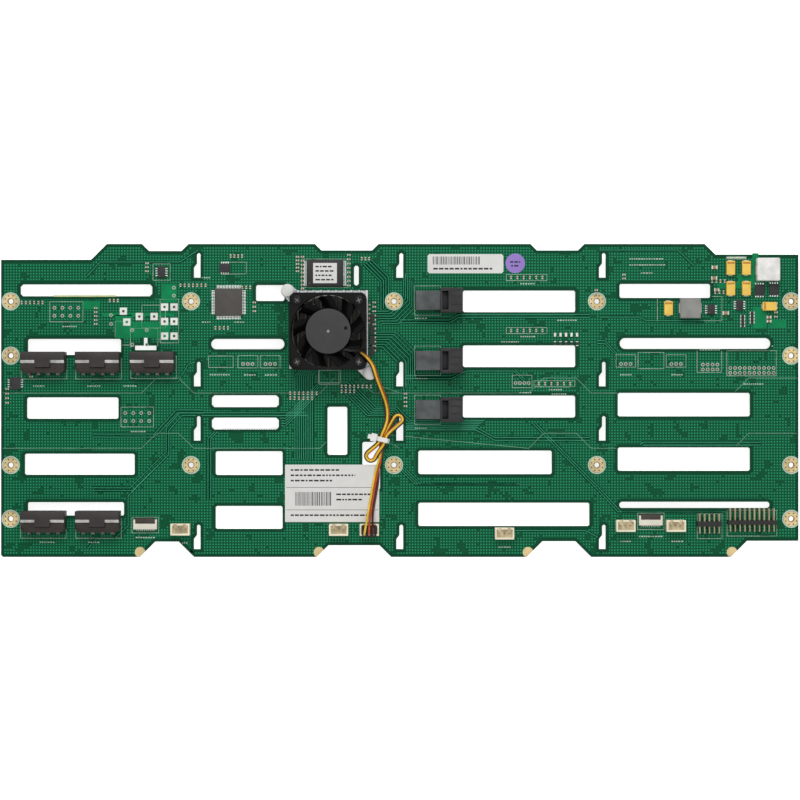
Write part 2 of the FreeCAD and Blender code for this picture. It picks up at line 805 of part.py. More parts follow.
def make_push_pin(x, y):
    """A round head over a shank that runs through the ear and the board."""
    head = ear_top + push_pin_lift
    tip = board_under - push_pin_below
    shank = faceted(x, y, tip, push_pin_radius, head - tip)
    return faceted(x, y, head, push_pin_head_radius, push_pin_head_height, 16).fuse(shank)


# ---- Fan ---------------------------------------------------------------------------------------
motor_plate_top = heatsink_top + motor_plate_thickness
hub_under = motor_plate_top + hub_gap
hub_top = hub_under + hub_height


def make_fan_frame():
    x, y = spot(cooler_spot)
    frame = block(x, y, heatsink_top, fan_side, fan_side, fan_height)
    frame = frame.makeFillet(fan_corner, upright_edges(frame))
    frame = frame.cut(disc(x, y, heatsink_top - through, duct_radius, fan_height + 2 * through))
    motor_plate = faceted(x, y, heatsink_top, motor_plate_radius, motor_plate_thickness, 16)
    bearing = faceted(x, y, heatsink_top, bearing_radius, motor_plate_thickness + bearing_height)
    struts = []
    for index in range(strut_count):
        strut = block(x + duct_radius / 2 + strut_shift, y, heatsink_top, duct_radius, strut_width,
                      motor_plate_thickness)
        struts.append(strut.rotated(vector(x, y, 0), vector(0, 0, 1), 45 + index * 360 / strut_count))
    bore = disc(x, y, heatsink_top + motor_plate_thickness / 2, shaft_radius + shaft_clearance,
                fan_height)
    lead_x, lead_y, lead_height = lead_route[0][:3]
    next_x, next_y = lead_route[1][:2]
    channel = block(lead_x + lead_channel_length / 2 - seat_gap, lead_y,
                    board_top + lead_height - wire_diameter, lead_channel_length,
                    lead_channel_width, fan_height)
    channel.rotate(vector(lead_x, lead_y, 0), vector(0, 0, 1),
                   math.degrees(math.atan2(next_y - lead_y, next_x - lead_x)))
    return frame.fuse([motor_plate, bearing] + struts).cut([bore, channel]).removeSplitter()


def blade_section(radius, sweep, length):
    """A thin cambered section on the tangent plane at a radius, turned ahead by the sweep angle."""
    lean = math.radians(blade_angle)
    along = vector(0, math.cos(lean), math.sin(lean))
    normal = vector(0, -math.sin(lean), math.cos(lean))
    middle = vector(radius, 0, hub_under + hub_height / 2)
    half = length / 2
    camber = length * blade_camber
    edge = blade_thickness / 3
    profile = [
        middle - along * half,
        middle + normal * camber,
        middle + along * half,
        middle + along * half + normal * edge,
        middle + normal * (camber + blade_thickness),
        middle - along * half + normal * edge,
    ]
    wire = Part.makePolygon(profile + profile[:1])
    wire.rotate(vector(0, 0, 0), vector(0, 0, 1), sweep)
    return wire


def make_impeller():
    x, y = spot(cooler_spot)
    hub = disc(0, 0, hub_under, hub_radius, hub_height)
    longest = (hub_height - blade_margin) / math.sin(math.radians(blade_angle))
    tip_radius = duct_radius - blade_tip_gap - blade_tip_trim
    sections = [
        blade_section(hub_radius - blade_root_sink, 0, blade_root_share * longest),
        blade_section(tip_radius, blade_sweep, blade_tip_share * longest),
    ]
    blade = Part.makeLoft(sections, True, True)
    blades = [blade.rotated(vector(0, 0, 0), vector(0, 0, 1), index * 360 / blade_count)
              for index in range(blade_count)]
    shaft_hole = disc(0, 0, hub_under - through, shaft_radius, shaft_share * hub_height + through)
    cup = faceted(0, 0, hub_under - through, hub_radius - hub_wall, hub_cup_depth + through, 16)
    impeller = hub.fuse(blades).cut([shaft_hole, cup])
    impeller.translate(vector(x, y, 0))
    return impeller


def make_shaft():
    x, y = spot(cooler_spot)
    start = heatsink_top + motor_plate_thickness / 2 + seat_gap
    return disc(x, y, start, shaft_radius, hub_under + shaft_share * hub_height - start)


def make_magnet():
    """The ring inside the hub that the coils turn."""
    x, y = spot(cooler_spot)
    outer = hub_radius - hub_wall - seat_gap
    ring = faceted(x, y, hub_under, outer, hub_cup_depth - seat_gap, 16)
    return ring.cut(faceted(x, y, hub_under - through, outer - magnet_thickness,
                            hub_cup_depth + through, 16))


def make_coils():
    x, y = spot(cooler_spot)
    coils = faceted(x, y, motor_plate_top, coil_radius, coil_height, 12)
    return coils.cut(faceted(x, y, motor_plate_top - through, bearing_radius + seat_gap,
                             coil_height + 2 * through))


def make_fan_screws():
    x, y = spot(cooler_spot)
    half = fan_screw_pitch / 2
    return [faceted(x + sx * half, y + sy * half, fan_top, fan_screw_head_radius,
                    fan_screw_head_height, 12) for sx in (-1, 1) for sy in (-1, 1)]


# ---- Fan lead ----------------------------------------------------------------------------------
def wire_points(side):
    """The bundle's route, moved across it to the place of one of its three wires."""
    points = []
    last = len(lead_route) - 1
    for index, (x, y, height, spread, lift, roll) in enumerate(lead_route):
        before = lead_route[max(index - 1, 0)]
        after = lead_route[min(index + 1, last)]
        along = vector(after[0] - before[0], after[1] - before[1], 0).normalize()
        across = side * spread
        over = (lift if side == 0 else 0) - lift / 3
        turn = math.radians(roll)
        sideways = across * math.cos(turn) - over * math.sin(turn)
        rise = lift / 3 + across * math.sin(turn) + over * math.cos(turn)
        points.append(vector(x + along.y * sideways, y - along.x * sideways,
                             board_top + height + rise))
    return points


def wire_path(points):
    """Straight runs joined by tangent arcs, and the smallest arc radius."""
    edges = []
    start = points[0]
    smallest = math.inf
    for before, corner, after in zip(points, points[1:], points[2:]):
        into = corner - before
        out = after - corner
        turn = into.getAngle(out)
        cut = arc_share * min(into.Length, out.Length)
        radius = cut / math.tan(turn / 2)
        smallest = min(smallest, radius)
        begin = corner - into.normalize() * cut
        end = corner + out.normalize() * cut
        inward = ((begin + end) / 2 - corner).normalize()
        middle = corner + inward * radius * (1 / math.cos(turn / 2) - 1)
        edges.append(Part.LineSegment(start, begin).toShape())
        edges.append(Part.Arc(begin, middle, end).toShape())
        start = end
    edges.append(Part.LineSegment(start, points[-1]).toShape())
    return Part.Wire(edges), smallest


def make_wire(side):
    points = wire_points(side)
    path, smallest = wire_path(points)
    along = (points[1] - points[0]).normalize()
    sideways = along.cross(vector(0, 0, 1)).normalize()
    upward = sideways.cross(along)
    corners = []
    for corner in range(wire_sides + 1):
        turn = 2 * math.pi * corner / wire_sides
        corners.append(points[0] + (sideways * math.cos(turn) + upward * math.sin(turn))
                       * (wire_diameter / 2))
    section = Part.makePolygon(corners)
    tube = path.makePipeShell([section], True, False)
    length = path.Length
    swept = Part.Face(section).Area * length
    print("wire %+d: length %.1f, smallest radius %.2f, volume share %.4f"
          % (side, length, smallest, tube.Volume / swept))
    return tube


def make_fan_plug(pins):
    x, y = spot(fan_header_spots[plugged_header - 1])
    floor = board_top + fan_header_floor + plug_lift
    rim = board_top + fan_header_height + plug_lift
    body = block(x, y, floor, plug_length, plug_body_width, rim - floor)
    top = block(x, y + plug_top_shift, rim, plug_length, plug_top_width, plug_top_height - plug_lift)
    return body.fuse(top).cut(pins)


def make_cable_tie():
    """A band round the folded bundle, its head on one side and the cut tail beyond."""
    half = tie_width / 2
    loop = [vector(x, -half, board_top + z) for x, z in tie_hole]
    hole = Part.makePolygon(loop + loop[:1])
    outside = hole.makeOffset2D(tie_band, 2)
    band = Part.Face(outside).extrude(vector(0, tie_width, 0))
    head_x = outside.BoundBox.XMin - tie_head_length / 2 + tie_band / 2
    head_z = (outside.BoundBox.ZMin + outside.BoundBox.ZMax) / 2 - tie_head_height / 2
    head = block(head_x, 0, head_z, tie_head_length, tie_head_width, tie_head_height)
    tail = block(head_x - tie_head_length / 2, 0, head_z + tie_band, 2 * tie_tail, tie_width, tie_band)
    tie = band.fuse([head, tail]).cut(Part.Face(hole).extrude(vector(0, tie_width, 0)))
    tie = tie.removeSplitter()
    tie.rotate(vector(0, 0, 0), vector(0, 0, 1), tie_turn)
    tie.translate(vector(tie_spot[0], tie_spot[1], 0))
    return tie


# ---- Chips, coils and capacitors ---------------------------------------------------------------
def make_body(part):
    length, width, height = part[4:]
    x, y = spot(part)
    return block(x, y, board_top, length, width, height)


def make_chip_row(row, step_x, step_y, length, width, height):
    """Equal small chips in a row from its middle."""
    x, y = spot(row)
    count = int(row[4])
    return [block(x + (index - (count - 1) / 2) * step_x, y + (index - (count - 1) / 2) * step_y,
                  board_top, length, width, height) for index in range(count)]


# ---- Stickers ----------------------------------------------------------------------------------
def make_sticker(sticker, sticker_corner=0):
    x, y = spot(sticker)
    sheet = block(x, y, board_top, sticker[4], sticker[5], sticker_thickness)
    return sheet.makeChamfer(sticker_corner, upright_edges(sheet)) if sticker_corner else sheet


def make_round_sticker():
    x, y = spot(round_sticker)
    return faceted(x, y, board_top, round_sticker[4] / 2, sticker_thickness, 24)


def make_chip_sticker():
    x, y = spot(flash_chip)
    return block(x, y, board_top + flash_chip[6], chip_sticker_length, chip_sticker_width,
                 sticker_thickness)


# ---- Everything --------------------------------------------------------------------------------
os.makedirs("parts", exist_ok=True)
save("board", [make_board()])
for column in range(1, columns + 1):
    save("drive_sockets_%d" % column, make_drive_sockets(column))

power_pins = []
for number, place in enumerate(power_socket_spots, 1):
    pins = make_power_pins(*spot(place))
    power_pins += pins
    save("power_socket_%d" % number, [make_power_socket(*spot(place), pins)])
save("power_pins", power_pins)

for number, place in enumerate(data_port_spots, 1):
    save("data_port_%d" % number, [make_data_port(*spot(place))])

header_pins = []
for number, place in enumerate(fan_header_spots, 1):
    pins = make_fan_pins(*spot(place))
    header_pins += pins
    if number == plugged_header:
        save("fan_plug", [make_fan_plug(pins)])
    save("fan_header_%d" % number, [make_fan_header(*spot(place))])

two_row_headers = [
    ("led_header", led_header_spot, led_header_pins, led_header_depth, led_pin_reach),
    ("switch_header", switch_header_spot, switch_header_pins, switch_header_depth,
     switch_pin_reach),
]
for node, place, count, depth, reach in two_row_headers:
    x, y = spot(place)
    front = y + depth / 2
    pins = make_header_pins(x, front, count, depth, reach)
    header_pins += pins
    save(node, [make_header_housing(x, front, count, depth, pins)])
save("header_pins", header_pins)

for number, place in enumerate(ribbon_spots, 1):
    save("ribbon_socket_%d" % number, [make_ribbon_socket(*spot(place))])
    save("ribbon_latch_%d" % number, [make_ribbon_latch(*spot(place))])

cooler_x, cooler_y = spot(cooler_spot)
save("expander_chip", [block(cooler_x, cooler_y, board_top, expander_side, expander_side,
                             expander_height)])
save("heatsink", [make_heatsink()])
save("push_pins", [make_push_pin(x, y) for x, y in push_pin_spots()])
save("fan_frame", [make_fan_frame()])
save("fan_impeller", [make_impeller()])
save("fan_shaft", [make_shaft()])
save("fan_magnet", [make_magnet()])
save("fan_coils", [make_coils()])
save("fan_screws", make_fan_screws())
for node, side in wires:
    save(node, [make_wire(side)])
save("cable_tie", [make_cable_tie()])
save("flash_chip", [make_body(flash_chip)])
save("controller_chip", [make_body(controller_chip)])
save("small_chips", [make_body(part) for part in small_chips])
save("power_transistors", [make_body(part) for part in power_transistors])
save("large_inductor", [make_body(large_inductor)])
save("small_inductor", [make_body(small_inductor)])
save("ceramic_capacitors", [make_body(part) for part in ceramic_capacitors])
chip_resistors = []
for stack in resistor_stacks:
    chip_resistors += make_chip_row(stack, 0, resistor_stack_pitch, resistor_length,
                                    resistor_width, resistor_height)
led_resistor_row = led_row[:3] + (led_row[3] + led_resistor_step,) + led_row[4:]
chip_resistors += make_chip_row(led_resistor_row, led_row_pitch, 0, resistor_width,
                                resistor_length, resistor_height)
save("chip_resistors", chip_resistors)
save("power_lights", make_chip_row(led_row, led_row_pitch, 0, led_length, led_width, led_height))
save("resistor_packs", make_chip_row(resistor_packs, 0, resistor_pack_pitch, resistor_pack_length,
                                     resistor_pack_width, resistor_height))
save("tantalum_capacitors", [make_body(part) for part in tantalum_capacitors])
save("product_sticker", [make_sticker(product_sticker)])
save("serial_sticker", [make_sticker(serial_sticker, serial_sticker_corner)])
save("round_sticker", [make_round_sticker()])
save("chip_sticker", [make_chip_sticker()])
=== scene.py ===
import json
import math
import random
import bpy
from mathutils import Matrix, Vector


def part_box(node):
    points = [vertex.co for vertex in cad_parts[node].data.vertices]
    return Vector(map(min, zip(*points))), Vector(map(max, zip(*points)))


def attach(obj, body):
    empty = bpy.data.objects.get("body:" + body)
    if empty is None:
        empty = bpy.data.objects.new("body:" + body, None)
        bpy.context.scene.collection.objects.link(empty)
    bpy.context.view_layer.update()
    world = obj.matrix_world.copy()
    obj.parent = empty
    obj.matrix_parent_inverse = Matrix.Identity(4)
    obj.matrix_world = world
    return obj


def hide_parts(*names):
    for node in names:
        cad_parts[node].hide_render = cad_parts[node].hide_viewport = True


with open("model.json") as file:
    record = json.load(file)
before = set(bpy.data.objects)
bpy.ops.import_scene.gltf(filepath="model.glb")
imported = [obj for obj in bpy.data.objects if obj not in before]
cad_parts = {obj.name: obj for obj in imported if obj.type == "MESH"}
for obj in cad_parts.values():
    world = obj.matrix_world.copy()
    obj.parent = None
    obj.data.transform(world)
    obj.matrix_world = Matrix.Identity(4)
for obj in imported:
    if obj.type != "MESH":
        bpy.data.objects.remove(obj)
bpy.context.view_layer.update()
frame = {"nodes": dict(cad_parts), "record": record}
root = "board_assembly"
mm = 0.001

# ---- Studio ------------------------------------------------------------------------------------
# The board lies on a pale floor, seen straight from above through a long lens. One large soft
# lamp stands beyond its far edge, a weaker one overhead fills, and a slim strip gives the gloss.
board_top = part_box("board")[1][2]
view_distance = 1150 * mm
camera_x, camera_y = 0.13 * mm, 0.24 * mm
lens_data = bpy.data.cameras.new("camera")
lens_data.lens = 98.3
lens_data.sensor_width = 36.0
lens_data.clip_end = 20.0
camera = bpy.data.objects.new("camera", lens_data)
camera.location = (camera_x, camera_y, board_top + view_distance)
bpy.context.collection.objects.link(camera)
bpy.context.scene.camera = camera


def add_lamp(name, place, target, width, depth, power):
    """A rectangular soft lamp at a place, turned towards its target."""
    data = bpy.data.lights.new(name, "AREA")
    data.shape = "RECTANGLE"
    data.size = width
    data.size_y = depth
    data.energy = power
    lamp = bpy.data.objects.new(name, data)
    lamp.location = place
    aim = [goal - start for goal, start in zip(target, place)]
    flat = math.hypot(aim[0], aim[1])
    lamp.rotation_euler = (math.atan2(flat, -aim[2]), 0, math.atan2(aim[1], aim[0]) - math.pi / 2)
    bpy.context.collection.objects.link(lamp)


add_lamp("key_lamp", (-0.1, 0.9, 1.1), (0, 0, 0), 0.9, 0.5, 9.5)
add_lamp("fill_lamp", (0.2, 0.1, 1.9), (0, 0, 0), 1.6, 1.6, 11.2)
add_lamp("strip_lamp", (0, -0.9, 0.2), (0, 0, 0), 1.3, 0.05, 1.2)


def feed(tree, node, inputs):
    """Gives each named input of a node its value, or links it to the output it draws from."""
    for entry, source in inputs.items():
        if isinstance(source, bpy.types.NodeSocket):
            tree.links.new(source, node.inputs[entry])
        else:
            node.inputs[entry].default_value = source


def add_node(tree, kind, inputs, **options):
    """A new shader node in a tree, with its options set and its inputs fed."""
    node = tree.nodes.new("ShaderNode" + kind)
    for option, choice in options.items():
        setattr(node, option, choice)
    feed(tree, node, inputs)
    return node


def backdrop_rays(tree):
    """One for rays that show the backdrop: from the camera, off gloss or through clear parts."""
    ray = add_node(tree, "LightPath", {})
    shown = add_node(tree, "Math", {0: ray.outputs["Is Camera Ray"],
                                    1: ray.outputs["Is Glossy Ray"]},
                     operation="ADD", use_clamp=True)
    passed = add_node(tree, "Math", {0: shown.outputs["Value"],
                                     1: ray.outputs["Is Transmission Ray"]},
                      operation="ADD", use_clamp=True)
    return passed.outputs["Value"]


world = bpy.data.worlds.new("studio")
bpy.context.scene.world = world
world.use_nodes = True
tree = world.node_tree
level = add_node(tree, "MapRange", {"Value": backdrop_rays(tree), "To Min": 0.35, "To Max": 1.0})
feed(tree, tree.nodes["Background"], {"Color": (1, 1, 1, 1), "Strength": level.outputs["Result"]})

floor_span = 8.0
floor_drop = 0.2 * mm
bpy.ops.object.select_all(action="DESELECT")
bpy.ops.mesh.primitive_plane_add(size=floor_span, location=(0, 0, -floor_drop))
floor = bpy.context.object
floor.name = "floor"
paper = bpy.data.materials.new("floor_paper")
paper.use_nodes = True
tree = paper.node_tree
diffuse = tree.nodes["Principled BSDF"]
feed(tree, diffuse, {"Base Color": (0.9, 0.9, 0.9, 1), "Roughness": 0.9,
                     "Specular IOR Level": 0.1})
amount = add_node(tree, "Math", {0: backdrop_rays(tree), 1: 0.8}, operation="MULTIPLY")
glow = add_node(tree, "Emission", {"Strength": amount.outputs["Value"]})
both = add_node(tree, "AddShader", {0: diffuse.outputs["BSDF"], 1: glow.outputs["Emission"]})
feed(tree, tree.nodes["Material Output"], {"Surface": both.outputs["Shader"]})
floor.data.materials.append(paper)
bpy.context.scene.view_settings.view_transform = "Standard"

# ---- Fan lead ----------------------------------------------------------------------------------
# Three limp wires in PVC insulation leave the fan stacked, roll over together and lie side by
# side at their plug. The spare length makes two small loops drawn together by a nylon tie.
wire_diameter = 1.15 * mm
stacked = (0.00072, 0.00105, 120)
# Middle of the bundle, then its half width, the rise of the middle wire and the roll in degrees.
lead_route = [
    (-0.0204, 0.025, 0.0236, *stacked),
    (-0.0172, 0.0225, 0.0236, *stacked),
    (-0.014, 0.0182, 0.0238, *stacked),
    (-0.0124, 0.0126, 0.0231, 0.00072, 0.0013, 120),
    (-0.0098, 0.0058, 0.0177, 0.00072, 0.0014, 120),
    (-0.0068, -0.0024, 0.012, 0.00072, 0.0013, 120),
    (-0.0064, -0.0096, 0.0123, *stacked),
    (-0.0079, -0.0146, 0.0141, *stacked),
    (-0.0096, -0.0179, 0.01445, *stacked),
    (-0.0107, -0.0221, 0.01445, *stacked),
    (-0.0147, -0.0255, 0.0135, *stacked),
    (-0.0176, -0.0278, 0.0124, *stacked),
    (-0.0177, -0.0303, 0.0117, *stacked),
    (-0.0158, -0.0319, 0.0115, *stacked),
    (-0.0134, -0.0313, 0.0117, *stacked),
    (-0.0123, -0.0289, 0.0132, *stacked),
    (-0.0104, -0.0259, 0.0142, *stacked),
    (-0.0081, -0.0229, 0.01445, *stacked),
    (-0.007, -0.0185, 0.01445, *stacked),
    (-0.0042, -0.0158, 0.0139, *stacked),
    (-0.0006, -0.0128, 0.0127, *stacked),
    (0.0016, -0.0109, 0.0119, *stacked),
    (0.0015, -0.0088, 0.0115, *stacked),
    (-0.0002, -0.0075, 0.0113, *stacked),
    (-0.0023, -0.0078, 0.0113, *stacked),
    (-0.0039, -0.0103, 0.0113, *stacked),
    (-0.0064, -0.0147, 0.0115, *stacked),
    (-0.0083, -0.0182, 0.01215, *stacked),
    (-0.0095, -0.023, 0.01215, *stacked),
    (-0.0103, -0.0284, 0.01135, *stacked),
    (-0.0109, -0.0326, 0.01175, 0.00075, 0.00105, 80),
    (-0.0115, -0.0362, 0.0117, 0.0008, 0.001, 40),
    (-0.0121, -0.0398, 0.01135, 0.00105, 0.00075, 0),
    (-0.0128, -0.044, 0.01125, 0.0012, 0.0002, 0),
    (-0.014, -0.051, 0.01125, 0.0012, 0.0002, 0),
    (-0.0152, -0.0578, 0.0113, 0.00122, 0.0002, 0),
    (-0.0157, -0.0619, 0.0161, 0.00135, 0.0003, 0),
    (-0.01585, -0.0656, 0.0215, 0.0018, 0.0003, 0),
    (-0.01595, -0.06825, 0.0228, 0.00225, 0.00015, 0),
    (-0.01595, -0.07005, 0.0217, 0.0025, 0.0, 0),
    (-0.01595, -0.07015, 0.01915, 0.0025, 0.0, 0),
]


def make_group(name, inputs):
    """A node group that gives colour, roughness and height: returns it with its end nodes."""
    group = bpy.data.node_groups.new(name, "ShaderNodeTree")
    for label, value in inputs.items():
        kind = "NodeSocketColor" if isinstance(value, tuple) else "NodeSocketFloat"
        socket = group.interface.new_socket(name=label, in_out="INPUT", socket_type=kind)
        socket.default_value = value
    for label, kind in (("Colour", "NodeSocketColor"), ("Roughness", "NodeSocketFloat"),
                        ("Height", "NodeSocketFloat")):
        group.interface.new_socket(name=label, in_out="OUTPUT", socket_type=kind)
    return group, group.nodes.new("NodeGroupInput"), group.nodes.new("NodeGroupOutput")


# Moulded or cast surface: slow drift in colour, fine grain in gloss and relief.
grain_group, grain_in, grain_out = make_group("moulded_grain", {
    "Colour": (0.5, 0.5, 0.5, 1), "Drift": 0.15, "Grain per metre": 3000.0, "Roughness": 0.5,
    "Roughness spread": 0.1})
where = add_node(grain_group, "TexCoord", {})
fine = add_node(grain_group, "TexNoise", {"Vector": where.outputs["Object"], "Detail": 3.0,
                                          "Scale": grain_in.outputs["Grain per metre"]})
broad = add_node(grain_group, "TexNoise", {"Vector": where.outputs["Object"], "Detail": 2.0,
                                           "Scale": 160.0})
lowest = add_node(grain_group, "Math", {0: 1.0, 1: grain_in.outputs["Drift"]},
                  operation="SUBTRACT")
darker = add_node(grain_group, "MapRange", {"Value": broad.outputs["Fac"], "From Min": 0.3,
                                            "From Max": 0.7, "To Min": lowest.outputs["Value"]})
tint = add_node(grain_group, "Mix", {}, data_type="RGBA", blend_type="MULTIPLY")
feed(grain_group, tint, {"Factor": 1.0, "A": grain_in.outputs["Colour"],
                         "B": darker.outputs["Result"]})
rough = add_node(grain_group, "Math", {0: fine.outputs["Fac"],
                                       1: grain_in.outputs["Roughness spread"],
                                       2: grain_in.outputs["Roughness"]},
                 operation="MULTIPLY_ADD")
feed(grain_group, grain_out, {"Colour": tint.outputs["Result"], "Height": fine.outputs["Fac"],
                              "Roughness": rough.outputs["Value"]})


def group_finish(name, group, values, relief, depth, shading):
    """A material whose colour, roughness and relief come from a node group."""
    finish = bpy.data.materials.new(name)
    finish.use_nodes = True
    tree = finish.node_tree
    surface = add_node(tree, "Group", values, node_tree=group)
    bump = add_node(tree, "Bump", {"Strength": relief, "Distance": depth,
                                   "Height": surface.outputs["Height"]})
    feed(tree, tree.nodes["Principled BSDF"], {
        "Base Color": surface.outputs["Colour"], "Roughness": surface.outputs["Roughness"],
        "Normal": bump.outputs["Normal"], **shading})
    return finish


def grained(name, colour, roughness, drift=0.15, grain=3000.0, spread=0.1, relief=0.15,
            depth=0.02 * mm, metallic=0.0, specular=0.22, coat=0.0):
    """A material with the moulded grain, at this finish's own values."""
    return group_finish(name, grain_group, {
        "Colour": (*colour, 1), "Drift": drift, "Grain per metre": grain,
        "Roughness": roughness, "Roughness spread": spread}, relief, depth, {
        "Metallic": metallic, "Specular IOR Level": specular, "Coat Weight": coat,
        "Coat Roughness": 0.12})


def place_piece(piece, name, finish, body=root):
    """Names a finished piece, gives it its material and slot, and lets it ride on its body."""
    piece.name = name
    piece.data.name = name
    piece.data.materials.clear()
    piece.data.materials.append(finish)
    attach(piece, body)
    return piece


def strand_points(side):
    """The bundle's route, moved across it to the place of one of its three wires."""
    points = []
    last = len(lead_route) - 1
    for index, (x, y, z, spread, lift, roll) in enumerate(lead_route):
        before = lead_route[max(index - 1, 0)]
        after = lead_route[min(index + 1, last)]
        run = math.hypot(after[0] - before[0], after[1] - before[1])
        along_x = (after[0] - before[0]) / run
        along_y = (after[1] - before[1]) / run
        across = side * spread
        over = (lift if side == 0 else 0) - lift / 3
        turn = math.radians(roll)
        sideways = across * math.cos(turn) - over * math.sin(turn)
        rise = lift / 3 + across * math.sin(turn) + over * math.cos(turn)
        points.append((x + along_y * sideways, y - along_x * sideways, z + rise))
    return points


def make_strand(name, side):
    """One wire of the bundle, a round tube along its own line of points."""
    data = bpy.data.curves.new(name, "CURVE")
    data.dimensions = "3D"
    data.bevel_depth = wire_diameter / 2
    data.bevel_resolution = 4
    data.resolution_u = 8
    data.use_fill_caps = True
    points = strand_points(side)
    spline = data.splines.new("NURBS")
    spline.points.add(len(points) - 1)
    for point, place in zip(spline.points, points):
        point.co = (*place, 1)
    spline.order_u = 3
    spline.use_endpoint_u = True
    strand = bpy.data.objects.new(name, data)
    bpy.context.collection.objects.link(strand)
    return strand


for colour_name, side, colour, length in [
        ("yellow", 1, (0.86, 0.58, 0.03), 0.175), ("red", 0, (0.5, 0.07, 0.015), 0.172),
        ("black", -1, (0.06, 0.01, 0.008), 0.178)]:
    strand = make_strand("lead_" + colour_name, side)
    insulation = grained("insulation_" + colour_name, colour, 0.32, drift=0.2, grain=1500.0,
                         spread=0.08, relief=0.08, coat=0.2)
    place_piece(strand, "lead_" + colour_name, insulation)
    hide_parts("fan_wire_" + colour_name)

# ---- Board -------------------------------------------------------------------------------------
# The board is glass-fibre laminate under green solder mask. Its copper pour is a fine hatch that
# shows through the mask as rows of paler dots, and it stops short of every cut edge.
copper_height = 0.04 * mm
hatch_pitch = 1.5 * mm
bare_margin = 1.7 * mm

hatch_group, hatch_in, hatch_out = make_group("hatched_copper", {
    "Mask": (0, 0.1, 0.04, 1), "Copper": (0, 0.2, 0.1, 1), "Laminate": (0.2, 0.3, 0.1, 1),
    "Dot size": 0.2})


def hatch_node(kind, inputs, output=0, **options):
    """A node of the hatch group: returns the one output the group goes on from."""
    return add_node(hatch_group, kind, inputs, **options).outputs[output]


# Each cell of the hatch holds one square dot; a broad noise thins them out by whole cells.
where = add_node(hatch_group, "TexCoord", {})
cells = hatch_node("VectorMath", {0: where.outputs["Object"], "Scale": 1 / hatch_pitch},
                   operation="SCALE")
inside = hatch_node("VectorMath", {0: cells}, operation="FRACTION")
centred = hatch_node("VectorMath", {0: inside, 1: (0.5, 0.5, 0.5)}, operation="SUBTRACT")
offset = hatch_node("VectorMath", {0: centred}, operation="ABSOLUTE")
parts = add_node(hatch_group, "SeparateXYZ", {"Vector": offset})
farther = hatch_node("Math", {0: parts.outputs["X"], 1: parts.outputs["Y"]},
                     operation="MAXIMUM")
dot = hatch_node("Math", {0: farther, 1: hatch_in.outputs["Dot size"]}, operation="LESS_THAN")
cell = hatch_node("VectorMath", {0: cells}, operation="FLOOR")
flat_cell = hatch_node("VectorMath", {0: cell, 1: (1, 1, 0)}, operation="MULTIPLY")
chance = hatch_node("TexWhiteNoise", {"Vector": flat_cell}, "Value")
crowd = hatch_node("TexNoise", {"Vector": flat_cell, "Scale": 0.2, "Detail": 1.0}, "Fac")
busy = hatch_node("MapRange", {"Value": crowd, "From Min": 0.58, "From Max": 0.68}, "Result")
kept = hatch_node("Math", {0: chance, 1: busy}, operation="GREATER_THAN")
shown = hatch_node("Math", {0: dot, 1: kept}, operation="MULTIPLY")
top = add_node(hatch_group, "Mix", {}, data_type="RGBA")
feed(hatch_group, top, {"Factor": shown, "A": hatch_in.outputs["Mask"],
                        "B": hatch_in.outputs["Copper"]})
# The cut edges show the laminate, and are duller than the mask.
facing = hatch_node("SeparateXYZ", {"Vector": where.outputs["Normal"]}, "Z")
upright = hatch_node("Math", {0: facing}, operation="ABSOLUTE")
edge = hatch_node("Math", {0: upright, 1: 0.5}, operation="LESS_THAN")
whole = add_node(hatch_group, "Mix", {}, data_type="RGBA")
feed(hatch_group, whole, {"Factor": edge, "A": top.outputs["Result"],
                          "B": hatch_in.outputs["Laminate"]})
gloss = hatch_node("Math", {0: edge, 1: 0.35, 2: 0.38}, operation="MULTIPLY_ADD")
feed(hatch_group, hatch_out, {"Colour": whole.outputs["Result"], "Roughness": gloss,
                              "Height": shown})
mask = group_finish("solder_mask_over_hatch", hatch_group, {
    "Mask": (0.0005, 0.077, 0.03, 1), "Copper": (0.02, 0.29, 0.14, 1),
    "Laminate": (0.02, 0.14, 0.06, 1), "Dot size": 0.24}, 0.3, copper_height, {
    "Specular IOR Level": 0.07})


def pick(*pieces):
    """Selects these pieces and nothing else; the first of them becomes the active one."""
    bpy.ops.object.select_all(action="DESELECT")
    for piece in pieces:
        piece.select_set(True)
    if pieces:
        bpy.context.view_layer.objects.active = pieces[0]


def edit(test=None):
    """Opens the active mesh in edit mode with all of it selected, or the faces that pass."""
    bpy.ops.object.mode_set(mode="EDIT")
    if not test:
        bpy.ops.mesh.select_all(action="SELECT")
        return
    bpy.ops.mesh.select_mode(type="FACE")
    bpy.ops.mesh.select_all(action="DESELECT")
    bpy.ops.object.mode_set(mode="OBJECT")
    for face in bpy.context.object.data.polygons:
        face.select = test(face)
    bpy.ops.object.mode_set(mode="EDIT")


def close_edit(outward=False):
    """Leaves edit mode, where asked with every face turned outward first."""
    if outward:
        bpy.ops.mesh.select_all(action="SELECT")
        bpy.ops.mesh.normals_make_consistent(inside=False)
    bpy.ops.object.mode_set(mode="OBJECT")


def extrude(x, y, z):
    """Draws the selected faces out by a step."""
    bpy.ops.mesh.extrude_region_move(TRANSFORM_OT_translate={"value": (x, y, z)})


def resize(x, y, z, centre=(0, 0, 0)):
    """Scales what is selected about a point."""
    bpy.ops.transform.resize(value=(x, y, z), center_override=centre)


def modify(piece, kind, **settings):
    """Adds one modifier to the active piece and applies it."""
    modifier = piece.modifiers.new(kind.lower(), kind)
    for setting, value in settings.items():
        setattr(modifier, setting, value)
    bpy.ops.object.modifier_apply(modifier=modifier.name)


def dress(node, finish):
    """Gives a CAD node its finish."""
    for place in frame["nodes"][node].material_slots:
        place.material = finish


